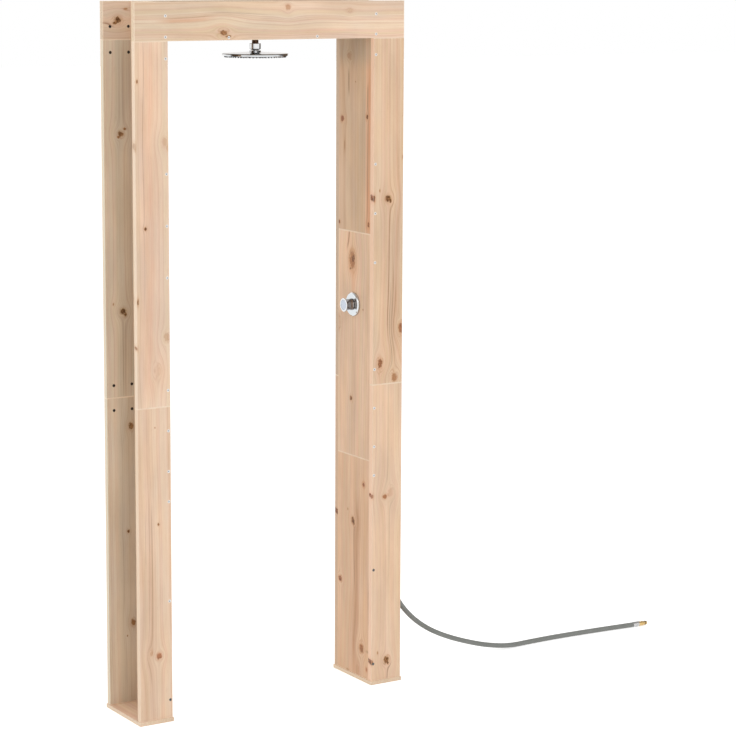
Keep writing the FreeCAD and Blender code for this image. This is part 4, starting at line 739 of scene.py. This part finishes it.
def head_metal():
    """The head's plate: polished, with painted shade darkening the crease where the dome turns into the rim, and two
    painted dark reflections on the rim.
    """
    mat, net, where = plain_start("head_chrome_painted_shade")
    at = net.parts(net.v("SCALE", where, 1000.0))
    radial = net.m("SQRT", net.m("ADD", net.m("MULTIPLY", at[0], at[0]), net.m("MULTIPLY", at[1], at[1])))
    across = net.m("ADD", net.m("MULTIPLY", at[0], 0.848), net.m("MULTIPLY", at[1], -0.530))
    wipe = net.noise(net.v("MULTIPLY", where, (60.0, 60.0, 240.0)), 1.0, 4.0, 0.65, 0.6)
    colour = net.mix(net.span(wipe, 0.42, 0.72, 0.0, 0.5), (0.490, 0.507, 0.520, 1), (0.420, 0.435, 0.448, 1))
    # Painted shade: the crease where the dome meets the rim is darkened.
    crease_shade = net.m("MULTIPLY", net.span(radial, 90.0, 94.5), net.span(at[2], 1989.6, 1991.2))
    painted_dark = net.m("MULTIPLY", crease_shade, net.span(wipe, 0.30, 0.60, 0.92, 0.72))
    # Two painted dark reflections as bands on the rim, placed by position along (0.848, -0.530).
    for s0, s1, soft in ((-70.0, -47.0, 3.0), (86.0, 99.0, 4.0)):
        band = net.m("MULTIPLY", net.span(across, s0 - soft, s0 + soft), net.span(across, s1 + soft, s1 - soft))
        painted_dark = net.m("MAXIMUM", painted_dark, net.m("MULTIPLY", net.m("MULTIPLY", band, net.span(radial, 92.0, 96.0)), 0.86))
    colour = net.mix(painted_dark, colour, (0.050, 0.053, 0.055, 1))
    finish_shader(net, colour, net.span(wipe, 0.35, 0.7, 0.04, 0.11), metallic=1.0)
    return mat


def nut_metal(name, light, dark, reflection_bands):
    """A turned ring's plate, with painted dark reflections as bands down its side: (middle, half width, strength) as
    sines about the axis.
    """
    mat, net, where = plain_start(name)
    n = net.parts(net.put("ShaderNodeTexCoord").outputs["Normal"])
    side = net.m("ADD", net.m("MULTIPLY", n[0], 0.848), net.m("MULTIPLY", n[1], -0.530))
    wipe = net.noise(net.v("MULTIPLY", where, (120.0, 120.0, 300.0)), 1.0, 4.0, 0.65, 0.6)
    colour = net.mix(net.span(wipe, 0.42, 0.72, 0.0, 0.5), light, tuple(c * 0.86 for c in light[:3]) + (1.0,))
    # Each band is a painted dark reflection, set by how far the normal turns towards (0.848, -0.530).
    for at, half, strength in reflection_bands:
        band = net.m("MULTIPLY", net.span(side, at - half - 0.05, at - half + 0.03), net.span(side, at + half + 0.05, at + half - 0.03))
        colour = net.mix(net.m("MULTIPLY", band, strength), colour, dark)
    finish_shader(net, colour, net.span(wipe, 0.35, 0.7, 0.05, 0.12), metallic=1.0)
    return mat


for word, made in (("head_shell", head_metal()),
                   ("head_connector", nut_metal("nut_chrome_painted_reflection", (0.545, 0.570, 0.590, 1), (0.050, 0.052, 0.055, 1), ((0.87, 0.07, 0.9), (-0.36, 0.20, 0.42), (-0.93, 0.05, 0.5)))),
                   ("head_collar", nut_metal("collar_chrome_painted_reflection", (0.50, 0.52, 0.54, 1), (0.045, 0.046, 0.048, 1), ((-0.30, 0.24, 0.92), (0.62, 0.26, 0.92), (-0.95, 0.04, 0.9))))):
    for s in nodes[word].material_slots:
        s.material = made

# ------------------------------------------------------------------ floor, light
floor_mesh = bpy.data.meshes.new("floor")
floor_mesh.from_pydata([(-40, -40, -0.0002), (40, -40, -0.0002), (40, 40, -0.0002), (-40, 40, -0.0002)], [], [(0, 1, 2, 3)])
floor = bpy.data.objects.new("floor", floor_mesh)
scene.collection.objects.link(floor)
mat = bpy.data.materials.new("floor")
mat.use_nodes = True
mat.node_tree.nodes.clear()
net = Net(mat.node_tree)
matt = net.put("ShaderNodeBsdfDiffuse", {"Color": (0.92, 0.92, 0.915, 1)}).outputs[0]
paths = net.put("ShaderNodeLightPath").outputs
lift = net.m("ADD", net.m("MULTIPLY_ADD", paths["Is Camera Ray"], 0.45, 0.06), net.m("MULTIPLY", paths["Is Glossy Ray"], 0.66))
lift = net.put("ShaderNodeEmission", {"Color": (1, 1, 1, 1), "Strength": lift}).outputs[0]
net.put("ShaderNodeOutputMaterial", {"Surface": net.put("ShaderNodeAddShader", {0: matt, 1: lift}).outputs[0]})
floor.data.materials.append(mat)

world = bpy.data.worlds.new("studio")
scene.world = world
world.use_nodes = True
world.node_tree.nodes.clear()
net = Net(world.node_tree)
x, y, z = net.parts(net.put("ShaderNodeTexCoord").outputs["Generated"])[:3]
glow = net.span(z, -0.1, 0.85, 0.44, 0.72)
glow = net.m("ADD", glow, net.span(y, 0.4, -0.9, 0.0, 0.24))
glow = net.m("SUBTRACT", glow, net.span(x, 0.25, 0.95, 0.0, 0.20))
# What polished metal mirrors: bright diffusers ahead, above and behind, with the dark gaps of the studio between them.
turn = net.m("MULTIPLY", net.m("ARCTAN2", net.m("SUBTRACT", net.m("MULTIPLY", x, 0.848), net.m("MULTIPLY", y, 0.530)),
                               net.m("SUBTRACT", net.m("MULTIPLY", x, -0.530), net.m("MULTIPLY", y, 0.848))), 180.0 / math.pi)


def gap(at, half, soft):
    return net.m("MULTIPLY", net.span(turn, at - half - soft, at - half + soft), net.span(turn, at + half + soft, at + half - soft))


gaps = net.m("MAXIMUM", gap(118.0, 24.0, 8.0), gap(-64.0, 12.0, 5.0))
gaps = net.m("MULTIPLY", gaps, net.span(z, 0.72, 0.50))
behind = net.span(net.m("ABSOLUTE", turn), 140.0, 158.0, 1.0, 0.62)
mirror = net.m("MULTIPLY", net.m("MULTIPLY", behind, net.span(z, 0.40, 0.80, 1.0, 0.42)), net.m("SUBTRACT", 1.0, net.m("MULTIPLY", gaps, 0.90)))
paths = net.put("ShaderNodeLightPath").outputs
grey = net.put("ShaderNodeBackground", {"Color": (1, 1, 1, 1), "Strength": glow}).outputs[0]
shine = net.put("ShaderNodeBackground", {"Color": (1.0, 0.97, 0.945, 1), "Strength": net.m("MULTIPLY", mirror, 1.62)}).outputs[0]
white = net.put("ShaderNodeBackground", {"Color": (1, 1, 1, 1), "Strength": 1.0}).outputs[0]
unseen = net.put("ShaderNodeMixShader", {0: paths["Is Glossy Ray"], 1: grey, 2: shine}).outputs[0]
net.put("ShaderNodeOutputWorld", {"Surface": net.put("ShaderNodeMixShader", {0: paths["Is Camera Ray"], 1: unseen, 2: white}).outputs[0]})


def softbox(name, at, towards, width, height, power):
    lamp = bpy.data.lights.new(name, "AREA")
    lamp.shape = "RECTANGLE"
    lamp.size, lamp.size_y, lamp.energy = width, height, power
    o = bpy.data.objects.new(name, lamp)
    scene.collection.objects.link(o)
    o.location = at
    o.rotation_mode = "QUATERNION"
    o.rotation_quaternion = (Vector(towards) - Vector(at)).to_track_quat("-Z", "Y")
    return o


softbox("front_softbox", (-1.6, -5.0, 4.6), (0.0, 0.0, 1.0), 3.2, 2.4, 70.0)
softbox("side_softbox", (-4.6, 0.8, 4.4), (0.0, 0.0, 1.0), 2.2, 2.2, 45.0)

scene.view_settings.view_transform = "Standard"
scene.view_settings.look = "None"
scene.view_settings.exposure = 0.0
scene.view_settings.gamma = 1.0
